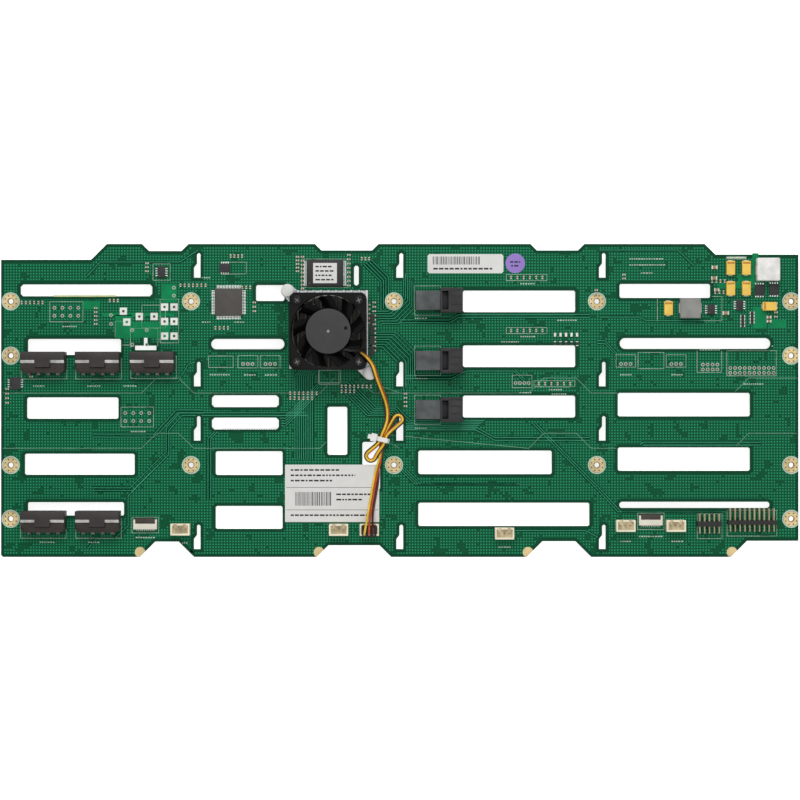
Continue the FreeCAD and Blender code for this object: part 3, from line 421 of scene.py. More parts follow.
def copy_of(node):
    """A copy of a CAD node's mesh, merged and selected, ready for edit mode."""
    source = frame["nodes"][node]
    twin = bpy.data.objects.new(node + "_copy", source.data.copy())
    twin.matrix_world = source.matrix_world
    bpy.context.collection.objects.link(twin)
    pick(twin)
    bpy.ops.object.transform_apply()
    edit()
    bpy.ops.mesh.remove_doubles(threshold=0.001 * mm)
    close_edit()
    return twin


dress("board", mask)

# The bare margin: a copy of the board's top face is inset, and only the rim of it is kept.
margins = copy_of("board")
edit(lambda face: not (face.normal.z > 0.9 and face.center.z > board_top - 0.1 * mm))
bpy.ops.mesh.delete(type="FACE")
bpy.ops.mesh.select_all(action="SELECT")
bpy.ops.mesh.dissolve_limited(angle_limit=0.01)
bpy.ops.mesh.select_all(action="SELECT")
bpy.ops.mesh.inset(thickness=bare_margin, depth=0, use_boundary=True, use_even_offset=True)
bpy.ops.mesh.delete(type="FACE")
close_edit()
modify(margins, "SOLIDIFY", thickness=0.012 * mm, offset=1)
bare_mask = grained("solder_mask_bare", (0.0005, 0.056, 0.023), 0.4, drift=0.12, grain=900,
                    relief=0.03, specular=0.07)
place_piece(margins, "bare_margins", bare_mask)


def joined(pieces):
    """The pieces made one, each in its place."""
    pick(*pieces)
    bpy.ops.object.transform_apply()
    if len(pieces) > 1:
        bpy.ops.object.join()
    return bpy.context.object


def copies(model, name, places):
    """Copies of one small model at several places, each with a mesh of its own, made one piece."""
    made = []
    for x, y, z, turn in places:
        twin = bpy.data.objects.new(name, model.data.copy())
        twin.location = (x, y, z)
        twin.rotation_euler = (0, 0, turn)
        bpy.context.collection.objects.link(twin)
        made.append(twin)
    bpy.data.objects.remove(model)
    return joined(made)


def scatter(model, name, places, finish, body=root):
    """Copies of one small model, made one piece and finished."""
    return place_piece(copies(model, name, places), name, finish, body)


def flat_ring(outer, inner, height, segments=40):
    """A flat ring or, with no inner radius, a disc, on the floor of its own frame."""
    bpy.ops.mesh.primitive_circle_add(vertices=segments, radius=outer,
                                      fill_type="NOTHING" if inner else "NGON")
    ring = bpy.context.object
    edit()
    if inner:
        bpy.ops.mesh.extrude_edges_move()
        resize(inner / outer, inner / outer, 1)
        bpy.ops.mesh.select_all(action="SELECT")
    extrude(0, 0, height)
    close_edit(outward=True)
    return ring


def small_bar(size, edge=0.0):
    """A small bar that stands on the floor of its own frame, its upper edges broken."""
    bpy.ops.mesh.primitive_plane_add(size=1)
    bar = bpy.context.object
    edit()
    resize(size[0], size[1], 1)
    extrude(0, 0, size[2] - edge)
    if edge:
        extrude(0, 0, edge)
        bpy.ops.transform.resize(value=((size[0] - 2 * edge) / size[0],
                                        (size[1] - 2 * edge) / size[1], 1))
    close_edit(outward=True)
    return bar


def middle(low, high):
    """The middle of a box, seen from above."""
    return (low[0] + high[0]) / 2, (low[1] + high[1]) / 2


def on_board(x, y, margin):
    """Whether the board is there at a place and at this margin all round it."""
    board = frame["nodes"]["board"]
    for side_x, side_y in ((0, 0), (margin, 0), (-margin, 0), (0, margin), (0, -margin)):
        start = ((x + side_x) * mm, (y + side_y) * mm, board_top + 5 * mm)
        if not board.ray_cast(start, (0, 0, -1), distance=6 * mm)[0]:
            return False
    return True


def kept_on_board(lines, margin, stride=0.6):
    """The runs of the lines that lie on the board, clear of its windows and edges."""
    runs = []
    for points, closed in lines:
        points = points + points[:1] if closed else points
        run = []
        for start, end in zip(points, points[1:]):
            length = math.hypot(end[0] - start[0], end[1] - start[1])
            count = max(1, round(length / stride))
            before = None
            for index in range(count + 1):
                share = index / count
                x = start[0] + (end[0] - start[0]) * share
                y = start[1] + (end[1] - start[1]) * share
                if on_board(x, y, margin):
                    if not run or index == count:
                        run.append((x, y))
                    before = (x, y)
                else:
                    if before and run and run[-1] != before:
                        run.append(before)
                    if len(run) > 1:
                        runs.append((run, False))
                    run, before = [], None
        if len(run) > 1:
            runs.append((run, False))
    return runs


def lines_piece(name, lines, width, finish, height=copper_height, base=board_top,
                margin=0.0):
    """Narrow raised lines drawn on a flat face: each is a list of points, closed or open."""
    if margin:
        lines = kept_on_board(lines, margin)
    data = bpy.data.curves.new(name, "CURVE")
    data.dimensions = "3D"
    data.bevel_depth = width / 2
    data.bevel_resolution = 0
    for points, closed in lines:
        spline = data.splines.new("POLY")
        spline.points.add(len(points) - 1)
        for point, (x, y) in zip(spline.points, points):
            point.co = (x * mm, y * mm, base, 1)
        spline.use_cyclic_u = closed
    drawn = bpy.data.objects.new(name, data)
    bpy.context.collection.objects.link(drawn)
    pick(drawn)
    bpy.ops.object.convert(target="MESH")
    edit()
    resize(1, 1, 2 * height / width, centre=(0, 0, base))
    close_edit()
    return place_piece(bpy.context.object, name, finish)


def box_line(x, y, length, width):
    """A closed rectangle round a centre."""
    half_x, half_y = length / 2, width / 2
    return [(x - half_x, y - half_y), (x + half_x, y - half_y), (x + half_x, y + half_y),
            (x - half_x, y + half_y)], True


# Conductors in the mask, in bundles of parallel lines: start points and turns, count and step.
copper_line = grained("mask_over_copper", (0.06, 0.36, 0.21), 0.4, drift=0.1, grain=900,
                      relief=0.02, specular=0.07)
bundles = [
    ([(-162, -46), (-142, -46), (-123, -27.1), (-123, -14.5), (-116, -6.5), (-50, -6.5)],
     2, 1.4, -1.4),
    ([(-162, -17.7), (-129.3, -17.7), (-117.8, -5), (-104, -5)], 2, 0.6, -1.6),
    ([(-164, -77.7), (-160, -72.9), (-150.4, -72.9), (-143, -66), (-143, -50.3), (-126, -33)],
     1, 0, 0),
    ([(-165, 65), (-157.8, 72.9), (-115.7, 72.9), (-106.2, 79.2)], 1, 0, 0),
    ([(-163, 7.8), (-161, 9.7), (-116.7, 9.7), (-111.4, 19), (-104, 21.3)], 1, 0, 0),
    ([(-42, 18), (-46, 13), (-46, -31)], 9, -1.15, 0),
    ([(-77, -8), (-60, -8), (-52, 0), (-43, 9)], 5, 0, -1.35),
    ([(-31, 6), (-17, -8), (-6, -8), (1, -15), (40, -15)], 6, 0.9, 0.9),
    ([(-15, 47), (-6, 47), (2, 55), (2, 68)], 6, 1.1, -1.3),
    ([(-15, 36), (-2, 36), (8, 26), (8, 12)], 7, -1.2, -1.3),
    ([(-15, 74), (-6, 65), (-6, 50)], 4, -1.3, -0.8),
    ([(0, 42.4), (26, 42.4), (31, 45.3), (100, 45.3)], 2, 0, -1.5),
    ([(0, 13), (27, 13), (35, 17), (60, 17), (66, 11)], 2, 0, -1.5),
    ([(2, -14), (40, -14), (50, -19.5), (100, -19.5)], 2, 0, -1.5),
    ([(105.4, 79.2), (146.4, 79.2), (155, 70.8)], 1, 0, 0),
    ([(105.4, 43.9), (126, 43.9), (130, 42), (160, 42)], 1, 0, 0),
    ([(104, 31.5), (108, 31.5), (114, 25), (114, 18)], 2, 0, -1.5),
    ([(70, -12), (105.4, -48.2), (114.9, -58.7), (170, -58.7)], 2, 1.6, 0),
    ([(-8, -28), (8, -44), (60, -44)], 3, 1.5, 0),
    ([(-38, -70), (-30, -62), (-8, -62)], 1, 0, 0),
    ([(60, -68.5), (98, -68.5), (104, -72)], 1, 0, 0),
    ([(-101, -52), (-101, -20), (-94, -13)], 2, 1.5, 0),
    ([(120, -29), (128, -22), (190, -22)], 2, 0, -1.5),
]
conductors = []
for points, count, step_x, step_y in bundles:
    for index in range(count):
        conductors.append(([(x + index * step_x, y + index * step_y) for x, y in points], False))
street_mask = grained("mask_between_traces", (0.0005, 0.078, 0.032), 0.4, drift=0.12, grain=900,
                      relief=0.02, specular=0.07)
lines_piece("trace_streets", conductors, 1.5 * mm, street_mask, 0.02 * mm, margin=1.6)
lines_piece("conductors", conductors, 0.5 * mm, copper_line, margin=1.2)


def cut_at_end(piece):
    """Cuts off what reaches past the right-hand end of the board."""
    pick(piece)
    edit()
    bpy.ops.mesh.bisect(plane_co=(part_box("board")[1][0] - 0.15 * mm, 0, 0), plane_no=(1, 0, 0),
                        use_fill=True, clear_outer=True)
    close_edit()
    return piece


# Screw lands: a gold ring round each hole, eight small vias in it drawn as dark discs of painted
# shade, a printed ring outside.
gold = grained("land_gold", (0.68, 0.54, 0.28), 0.45, drift=0.35, grain=900, spread=0.2,
               relief=0.2, metallic=0.3)
hole_places = []
for mount in frame["record"]["mounts"]:
    if mount["kind"] != "bolt_pattern":
        continue
    half_x = mount["dims"].get("spacing_x_mm", 0) * mm / 2
    half_y = mount["dims"].get("spacing_y_mm", 0) * mm / 2
    for side_x in {-half_x, half_x}:
        for side_y in {-half_y, half_y}:
            hole_places.append((mount["pos_m"][0] + side_x, mount["pos_m"][1] + side_y,
                                board_top, 0))
hole_places.sort()
land_radius = 3.95 * mm
bore_radius = 1.76 * mm
ring_outside, ring_inside = 4.75 * mm, 4.1 * mm
land = cut_at_end(copies(flat_ring(land_radius, bore_radius, copper_height), "screw_lands",
                         hole_places))
place_piece(land, "screw_lands", gold)
print_white = grained("print_white", (0.56, 0.68, 0.56), 0.6, drift=0.3, grain=2500, relief=0.02)
print_ring = cut_at_end(copies(flat_ring(ring_outside, ring_inside, copper_height), "land_rings",
                               hole_places))
place_piece(print_ring, "land_rings", print_white)
board_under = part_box("board")[0][2]
# Plated barrels line the bolt holes; their dark brown is partly the plating and partly painted
# shade in the holes.
barrel_outside, barrel_inside = 1.74 * mm, 1.35 * mm
barrel_finish_and_shade = grained("plated_barrel", (0.33, 0.2, 0.09), 0.5, drift=0.5, grain=900, metallic=0.3)
scatter(flat_ring(barrel_outside, barrel_inside, board_top - board_under + copper_height),
        "hole_barrels", [(x, y, board_under, 0) for x, y, z, turn in hole_places], barrel_finish_and_shade)
# Open holes are drawn as dark discs; their dark is painted shade.
via_dark = grained("via_dark", (0.05, 0.045, 0.02), 0.5)
via_circle = 3.1 * mm
via_radius = 0.38 * mm
vias_round_hole = 8
via_places = []
for x, y, z, turn in hole_places:
    for index in range(vias_round_hole):
        angle = 2 * math.pi * (index + 0.5) / vias_round_hole
        via_places.append((x + via_circle * math.cos(angle), y + via_circle * math.sin(angle),
                           z + copper_height, 0))
scatter(flat_ring(via_radius, 0, 0.01 * mm, 8), "land_vias", via_places, via_dark)

# White print: bay outlines, frames round the connectors, and short bars where captions would be.
outline_end = 209
outline_rise = 7.9
bay_lines = []
for level_y, second_end in ((3.9, -22), (-25.2, -14)):
    line = [(-outline_end, level_y)]
    for start, rise, fall, end in [(-136, -128, -116.4, -108.4), (-42, -34.5, second_end, -14),
                                   (67.9, 75.8, 92.9, 100.8),
                                   (175.8, 183.7, outline_end, outline_end)]:
        line += [(start, level_y), (rise, level_y + outline_rise),
                 (fall, level_y + outline_rise)]
        if end > fall:
            line.append((end, level_y))
    bay_lines.append((line[:7], False))
    bay_lines.append(([(0, level_y)] + line[7:], False))
faint_print = grained("print_faint", (0.16, 0.36, 0.24), 0.5, drift=0.3, grain=2500, relief=0.02)
lines_piece("bay_outlines", bay_lines, 0.42 * mm, faint_print, margin=0.5)

frame_boxes = [
    (66.8, 64.7, 21.5, 3.2), (66.8, 36.8, 21.5, 3.2), (81.4, 8.8, 21.5, 3.2),
    (-37.0, 12.7, 11.6, 6.8), (-175.5, 46.7, 17.5, 10.6), (-138.2, -8.7, 17.2, 10.4),
    (-145.8, 35.4, 8.0, 12.5), (-129.5, 44.2, 12.5, 12.0), (-134.6, 33.2, 14.5, 9.6),
    (-121.3, 41.8, 9.6, 23.0), (-80.0, 20.4, 10.4, 6.5), (-68.2, 20.4, 10.4, 6.5),
    (-94.2, 20.4, 13.0, 6.0), (-37.2, 12.2, 10.4, 7.4), (64.4, 10.0, 10.4, 6.6),
    (119.0, 20.8, 10.4, 6.5), (145.5, 20.8, 10.4, 6.5), (132.3, 21.0, 13.6, 8.6),
    (163.0, 20.8, 13.0, 12.0), (185.2, 19.6, 26.0, 13.2), (163.1, -66.2, 13.0, 13.0),
    (185.4, -64.6, 26.0, 13.6), (-187.3, 16.8, 24.0, 11.0), (-158.6, 16.8, 24.0, 11.0),
    (-129.6, 17.4, 24.0, 11.6), (-187.6, -67.0, 24.0, 11.0), (-158.6, -67.0, 24.0, 11.0),
    (-134.0, -65.6, 14.0, 8.2), (132.2, -63.6, 14.0, 8.6), (14.6, 52.6, 13.6, 15.4),
    (14.6, 20.9, 13.6, 15.4), (14.6, -4.9, 13.6, 15.4), (-39.3, 67.0, 24.6, 15.0),
    (-87.0, 69.7, 12.4, 6.2), (-125.4, 67.6, 9.0, 8.6), (152.6, 48.4, 34.0, 12.8),
]
lines_piece("print_frames", [box_line(*box) for box in frame_boxes], 0.28 * mm, print_white,
            margin=0.4)
caption_spots = [
    (-174, 38.9, 7), (-138, -16.4, 7), (-190, 7.6, 6), (-161, 7.6, 7), (-142, 7.6, 7),
    (-186, -74.6, 7), (-161, -74.6, 6), (-134, -72.2, 10), (-95, 13.5, 10), (-79, 13.4, 6),
    (-68, 13.4, 6), (11, 43.2, 6), (11, 11.5, 6), (11, -14.6, 6), (58, 57.8, 9), (58, 30.8, 9),
    (84, 3.4, 8), (88, 42.2, 10), (66, 4.0, 6), (119, 13.5, 6), (146, 13.5, 6), (133, 29.6, 10),
    (186, 8.6, 10), (132, -71.6, 12), (119, -74.2, 6), (146, -74.2, 6), (55, -77.2, 6),
    (-115, -75.0, 6), (190, -75.6, 10), (130, 74.5, 18), (130, 71.3, 18), (130, 67, 6),
    (-103, 64.6, 5), (-85, 41.2, 4), (-102, 41.2, 4), (163, 30.4, 8), (67, 61.4, 7),
    (67, 33.6, 7), (82, 5.6, 7), (185, 28.6, 22), (163, 26.6, 10),
]
letter_gap = 0.45
caption_bars = []
random.seed(7)
for x, y, length in caption_spots:
    at = x - length / 2
    while at < x + length / 2:
        run = random.uniform(0.5, 1.1)
        caption_bars.append(([(at, y), (at + run, y)], False))
        at += run + letter_gap
lines_piece("caption_bars", caption_bars, 0.75 * mm, print_white, margin=0.4)

# Empty footprints: tinned rings and square lands, each with a dark disc of painted shade for its
# hole.
tin = grained("tinned_land", (0.4, 0.44, 0.37), 0.45, drift=0.3, grain=900, metallic=0.2)
ring_spots = []
for x, y, count_x, count_y, pitch in [
        (-175.5, 46.7, 4, 2, 4.2), (-138.2, -8.7, 4, 2, 4.2), (-80.0, 19.2, 3, 1, 2.5),
        (-68.2, 19.2, 3, 1, 2.5), (64.4, 9.2, 4, 1, 2.3), (119.0, 19.2, 3, 1, 2.5),
        (145.5, 19.2, 3, 1, 2.5), (163.4, 17.6, 4, 2, 2.54), (185.4, 15.8, 10, 2, 2.54),
        (-137.0, 33.2, 2, 2, 7.6), (-118.9, 57.3, 1, 2, 4.2), (-152.0, 42.6, 1, 2, 4.6)]:
    for column in range(count_x):
        for row in range(count_y):
            ring_spots.append(((x + (column - (count_x - 1) / 2) * pitch) * mm,
                               (y + (row - (count_y - 1) / 2) * pitch) * mm, board_top, 0))
hole_radius = 0.5 * mm
scatter(flat_ring(0.95 * mm, hole_radius, copper_height, 16), "through_rings", ring_spots, tin)
scatter(flat_ring(hole_radius, 0, 0.02 * mm, 12), "through_holes", ring_spots, via_dark)
square_spots = [(x * mm, y * mm, board_top, math.pi / 4) for x, y in [
    (-145.5, 47.0), (-143.7, 41.3), (-137.1, 44.2), (-129.3, 44.2), (-123.8, 49.2),
    (-118.8, 49.2), (-123.8, 41.6), (-118.8, 41.6), (-123.8, 33.9), (-118.8, 33.9)]]
bright_tinned = grained("tinned_square", (0.7, 0.72, 0.68), 0.45, drift=0.2, grain=900,
                        metallic=0.2)
square_hole = 0.9 * mm
scatter(flat_ring(2.7 * mm, square_hole, copper_height, 4), "square_lands", square_spots,
        bright_tinned)

# Solid copper areas under the mask, a strip of bare tin, and half-round gold lands at the notches.
patch_green = grained("mask_over_solid_copper", (0.004, 0.24, 0.085), 0.4, drift=0.25, grain=600,
                      relief=0.02, specular=0.07)
patches = [(-162.4, 50.2, 9.2, 4.4), (-137.6, 45.4, 38, 1.6), (-131.0, 37.0, 20, 8.0),
           (-121.3, 56.6, 8, 9.6), (-145.3, 39.0, 9.0, 12.4), (184.6, 64.2, 13.0, 4.6),
           (177.8, 60.4, 20.0, 3.0), (189.6, 43.6, 7.4, 11.4), (199.0, 40.4, 9.0, 4.0),
           (187.2, 72.0, 3.2, 11.0)]
patch_height = 0.03 * mm
areas = []
for x, y, length, width in patches:
    area = small_bar((length * mm, width * mm, patch_height))
    area.location = (x * mm, y * mm, board_top)
    areas.append(area)
place_piece(joined(areas), "copper_areas", patch_green)
pale_strip = grained("pale_strip", (0.78, 0.84, 0.4), 0.5, drift=0.25, grain=900)
lines_piece("tin_strips", [([(-182, 54.9), (-149.5, 54.9)], False)], 1.0 * mm, pale_strip)
lines_piece("white_strip", [([(172, 75.1), (182.5, 75.1)], False)], 1.8 * mm, print_white)
shell = copy_of("board")
shell.location = (0, 0, copper_height)
notch_line = -79.9 * mm
half_lands = copies(flat_ring(2.8 * mm, 0, 0.06 * mm, 32), "notch_lands",
                    [(x * mm, notch_line, board_top - 0.02 * mm, 0)
                     for x in (-136.7, -42.5, 67.5, 174.9)])
modify(half_lands, "BOOLEAN", operation="INTERSECT", object=shell, solver="EXACT")
bpy.data.objects.remove(shell)
place_piece(half_lands, "notch_lands", gold)
# Dark discs of painted shade stand for the holes in the square lands.
scatter(flat_ring(square_hole, 0, 0.02 * mm, 16), "square_land_holes", square_spots, via_dark)

# Solder tips of the through pins on the underside.
solder = grained("solder", (0.62, 0.63, 0.62), 0.3, drift=0.2, grain=1500, relief=0.1,
                 metallic=0.85)


def solid_boxes(node):
    """Lowest and highest corner of each separate solid of a CAD node."""
    copy_of(node)
    edit()
    bpy.ops.mesh.separate(type="LOOSE")
    close_edit()
    boxes = []
    for solid in list(bpy.context.selected_objects):
        corners = [corner.co for corner in solid.data.vertices]
        boxes.append(([min(corner[axis] for corner in corners) for axis in range(3)],
                      [max(corner[axis] for corner in corners) for axis in range(3)]))
        bpy.data.objects.remove(solid)
    return sorted(boxes)


tip_places = []
for low, high in solid_boxes("power_pins"):
    tip_places.append((middle(low, high)[0], low[1] + 0.45 * mm, board_under, 0))
for low, high in solid_boxes("header_pins"):
    x, y = middle(low, high)
    straight = high[1] - low[1] < 1 * mm
    tip_places.append((x, y if straight else low[1] + 0.32 * mm, board_under, 0))
tip_length = 0.7 * mm
bpy.ops.mesh.primitive_cone_add(vertices=10, radius1=0.45 * mm, radius2=1.0 * mm,
                                depth=tip_length, location=(0, 0, -tip_length / 2))
scatter(bpy.context.object, "solder_tips", tip_places, solder)

# ---- Drive sockets -----------------------------------------------------------------------------
# Twenty-four sockets moulded in black glass-filled resin stand under the board, one for each
# drive. Each has a row of gold-plated spring contacts along its slot and tails on the board.
def softened(node, finish, edge, body=root, segments=2):
    """A copy of a moulded solid with its sharp edges rounded, which stands for that node."""
    piece = copy_of(node)
    edit()
    bpy.ops.mesh.dissolve_limited(angle_limit=0.01)
    close_edit()
    modify(piece, "BEVEL", width=edge, segments=segments, limit_method="ANGLE",
           angle_limit=math.radians(40))
    bpy.ops.object.shade_smooth_by_angle(angle=math.radians(35))
    place_piece(piece, node + "_body", finish, body)
    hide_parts(node)
    return piece


socket_resin = grained("socket_resin", (0.012, 0.012, 0.013), 0.42, drift=0.2, grain=2500)
contact_gold = grained("contact_gold", (0.78, 0.56, 0.22), 0.26, drift=0.1, grain=2000,
                       metallic=1.0)
contact_pitch = 1.27 * mm
contact_count = 22
tail_count = 29
tail_row = 3.3 * mm
contact_spots = []
tail_spots = []
for column in range(1, 5):
    node = "drive_sockets_%d" % column
    softened(node, socket_resin, 0.25 * mm)
    for low, high in solid_boxes(node):
        x, y = middle(low, high)
        for index in range(contact_count):
            contact_spots.append((x + (index - contact_count // 2) * contact_pitch,
                                  y + 0.62 * mm, 0.6 * mm, 0))
        for index in range(tail_count):
            for side in (-1, 1):
                tail_spots.append((x + (index - tail_count // 2) * contact_pitch,
                                   y + side * tail_row, board_under - 0.45 * mm, 0))
scatter(small_bar((0.6 * mm, 0.3 * mm, 5.4 * mm)), "socket_springs", contact_spots, contact_gold)
scatter(small_bar((0.5 * mm, 1.4 * mm, 0.4 * mm), 0.1 * mm), "socket_tails", tail_spots, solder)

# ---- Power sockets -----------------------------------------------------------------------------
# Five right-angle sockets moulded in dark grey nylon take four-way power plugs. Bright tin-coloured
# strips on the slope each side of the middle rib are a painted highlight; thin roof plates lie
# behind it, and four square pins stand in the mouth.


def second_finish(piece, finish, test):
    """Gives the faces of a piece that pass the test a finish of their own."""
    piece.data.materials.append(finish)
    for face in piece.data.polygons:
        if test(face):
            face.material_index = 1


power_nylon = grained("power_nylon", (0.045, 0.04, 0.039), 0.45, drift=0.3, grain=1200)
power_rear = grained("power_nylon_rear", (0.03, 0.022, 0.018), 0.4, drift=0.4, grain=700)
bright_tin = grained("bright_tin", (0.62, 0.61, 0.59), 0.35, drift=0.5, grain=300, metallic=0.35)
rear_depth = 6.2 * mm
slope_angle = math.radians(39.8)
glint_spots = []
cover_spots = []
for number in range(1, 6):
    node = "power_socket_%d" % number
    low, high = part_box(node)
    housing = softened(node, power_nylon, 0.35 * mm)
    second_finish(housing, power_rear, lambda face: face.normal.z > 0.5
                  and face.center.y < high[1] - rear_depth)
    x = middle(low, high)[0]
    for side in (-1, 1):
        glint_spots.append((x + side * 7.7 * mm, high[1] - 5.1 * mm, high[2] - 1.0 * mm, 0))
        cover_spots.append((x + side * 7.5 * mm, high[1] - 7.5 * mm, high[2] - 2.05 * mm, 0))
scatter(small_bar((7.0 * mm, 2.6 * mm, 0.25 * mm), 0.06 * mm), "power_roof_plates", cover_spots,
        power_rear)
# The bright strips on the slope stand for the lamp's reflection: a painted highlight.
glint_strip = small_bar((7.4 * mm, 1.9 * mm, 0.25 * mm), 0.08 * mm)
glint_strip.rotation_euler = (slope_angle, 0, 0)
bpy.ops.object.transform_apply()
scatter(glint_strip, "power_shields", glint_spots, bright_tin)
leg_tin = grained("leg_tin", (0.16, 0.15, 0.14), 0.4, drift=0.5, grain=700, metallic=0.3)
dress("power_pins", leg_tin)

# ---- Data ports --------------------------------------------------------------------------------
# Each of the three latching data ports is a dark shroud clamped over a grey contact block. The
# window in its roof catches the plug's latch; a contact tongue stands in the mouth.
port_shroud = grained("port_shroud", (0.02, 0.02, 0.022), 0.42, drift=0.2, grain=1500)
port_block = grained("port_block", (0.11, 0.12, 0.122), 0.5, drift=0.5, grain=500, spread=0.2,
                     relief=0.3, depth=0.05 * mm)
shroud_depth = 11.8 * mm
strip_count = 9
strip_pitch = 0.9 * mm
tongue_rise = 5.1 * mm
rib_spots = []
strip_spots = []
for number in range(1, 4):
    node = "data_port_%d" % number
    low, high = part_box(node)
    port = softened(node, port_shroud, 0.3 * mm)
    second_finish(port, port_block, lambda face: face.center.x < high[0] - shroud_depth - 0.1 * mm)
    y = middle(low, high)[1]
    for shift in (-5.6, -1.9, 1.9, 5.6):
        rib_spots.append((high[0] - 3.4 * mm, y + shift * mm, high[2], 0))
    for index in range(strip_count):
        for side in (-1, 1):
            strip_spots.append((high[0] - 6.4 * mm, y + (index - strip_count // 2) * strip_pitch,
                                low[2] + tongue_rise + side * 1.52 * mm - 0.06 * mm, 0))
scatter(small_bar((5.4 * mm, 0.7 * mm, 0.3 * mm), 0.1 * mm), "port_ribs", rib_spots, port_shroud)
scatter(small_bar((1.8 * mm, 0.4 * mm, 0.12 * mm)), "port_strips", strip_spots, contact_gold)

# ---- Fan headers -------------------------------------------------------------------------------
# Six three-way headers moulded in natural cream nylon stand on end; two slots in the far wall of
# each key the plug, and three tinned pins come up through a floor with painted cavity shade.
natural_nylon = grained("natural_nylon", (0.95, 0.88, 0.68), 0.45, drift=0.15, grain=1500,
                        relief=0.1)
baked_floor = grained("baked_floor", (0.82, 0.7, 0.48), 0.55, drift=0.5, grain=600)
header_floor = board_top + 1.6 * mm
for number in range(1, 7):
    header = softened("fan_header_%d" % number, natural_nylon, 0.2 * mm)
    second_finish(header, baked_floor, lambda face: face.normal.z > 0.8
                  and abs(face.center.z - header_floor) < 0.1 * mm)

# ---- Pin headers -------------------------------------------------------------------------------
# Two right-angle headers carry the cables for the drive lights and the switches: square gold-
# flashed pins pushed through a black bar, their ends chamfered.
header_black = grained("header_black", (0.014, 0.014, 0.014), 0.42, drift=0.2, grain=2000)
pale_gold = grained("pale_gold", (0.36, 0.32, 0.2), 0.4, drift=0.35, grain=900, metallic=0.3)
for node in ("led_header", "switch_header"):
    softened(node, header_black, 0.15 * mm, segments=1)
dress("header_pins", pale_gold)

# ---- Ribbon sockets ----------------------------------------------------------------------------
# Low sockets for a flat ribbon cable, moulded in cream resin. A grey-brown bar between two horns
# slides out by 1.2 mm to free the cable.
ribbon_resin = grained("ribbon_resin", (0.8, 0.76, 0.64), 0.45, drift=0.12, grain=1500)
latch_resin = grained("latch_resin", (0.06, 0.048, 0.04), 0.45, drift=0.25, grain=1500)
pin_tin = grained("pin_tin", (0.55, 0.55, 0.52), 0.35, drift=0.2, grain=1500, metallic=0.4)
foot_count = 10
foot_pitch = 1.0 * mm
foot_spots = []
for number in (1, 2):
    node = "ribbon_socket_%d" % number
    low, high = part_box(node)
    softened(node, ribbon_resin, 0.15 * mm)
    softened("ribbon_latch_%d" % number, latch_resin, 0.12 * mm,
             body="latch_%d" % number)
    for index in range(foot_count):
        foot_spots.append((middle(low, high)[0] + (index - (foot_count - 1) / 2) * foot_pitch,
                           low[1] - 0.45 * mm, board_top, 0))
scatter(small_bar((0.35 * mm, 1.0 * mm, 0.25 * mm), 0.06 * mm), "ribbon_feet", foot_spots,
        pin_tin)

# ---- Cooler ------------------------------------------------------------------------------------
# A black ball-grid chip carries an aluminium heatsink with straight fins, held down by two white
# push pins through its ears. The 40 mm fan screws to its fins.
chip_resin = grained("chip_resin", (0.028, 0.028, 0.03), 0.5, drift=0.2, grain=2500, relief=0.2)
dress("expander_chip", chip_resin)
aluminium = grained("bare_aluminium", (0.5, 0.51, 0.52), 0.42, drift=0.2, grain=1200,
                    metallic=0.6)
low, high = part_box("fan_impeller")
fan_x, fan_y = middle(low, high)
# Under the fan's round opening the fins carry painted shade; outside it they are bare metal.
tree = aluminium.node_tree
place = add_node(tree, "TexCoord", {})
flat_place = add_node(tree, "VectorMath", {0: place.outputs["Object"], 1: (1, 1, 0)},
                      operation="MULTIPLY")
from_axis = add_node(tree, "VectorMath", {0: flat_place.outputs["Vector"],
                                          1: (fan_x, fan_y, 0)}, operation="DISTANCE")
fan_shade_mask = add_node(tree, "MapRange", {"Value": from_axis.outputs["Value"],
                                    "From Min": 18.8 * mm, "From Max": 20.0 * mm})
sink_colour = tree.nodes["Principled BSDF"].inputs["Base Color"]
shaded_fins = add_node(tree, "Mix", {}, data_type="RGBA")
feed(tree, shaded_fins, {"Factor": fan_shade_mask.outputs["Result"], "A": (0.035, 0.033, 0.03, 1),
                      "B": sink_colour.links[0].from_socket})
tree.links.new(shaded_fins.outputs["Result"], sink_colour)
softened("heatsink", aluminium, 0.12 * mm, segments=1)
white_nylon = grained("white_nylon", (0.72, 0.72, 0.7), 0.4, drift=0.1, grain=1500)
softened("push_pins", white_nylon, 0.4 * mm, segments=3)

# ---- Fan ---------------------------------------------------------------------------------------
# A 40 mm axial fan in glossy black polyester. Nine cambered blades stand round a matte hub with a
# gate dimple near its rim; the hub turns on a steel shaft with a ring magnet round the coils.
fan_gloss = grained("fan_gloss", (0.005, 0.005, 0.005), 0.16, drift=0.2, grain=600, spread=0.06,
                    relief=0.04, specular=0.06)
hub_matte = grained("hub_matte", (0.042, 0.042, 0.043), 0.55, drift=0.15, grain=2500, relief=0.3)
softened("fan_frame", fan_gloss, 0.45 * mm, segments=3)
low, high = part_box("fan_impeller")
hub_top = high[2]
hub_radius = 12 * mm
hub_height = high[2] - low[2]
hub_wall = 1.2 * mm
cup_depth = 3.0 * mm
bpy.ops.mesh.primitive_cylinder_add(vertices=96, radius=hub_radius, depth=hub_height,
                                    location=(0, 0, hub_top - hub_height / 2))
hub = bpy.context.object
bpy.ops.object.transform_apply()
edit(lambda face: face.normal.z < -0.9)
bpy.ops.mesh.inset(thickness=hub_wall, depth=0)
extrude(0, 0, cup_depth)
close_edit()
modify(hub, "BEVEL", width=0.7 * mm, segments=4, limit_method="ANGLE")

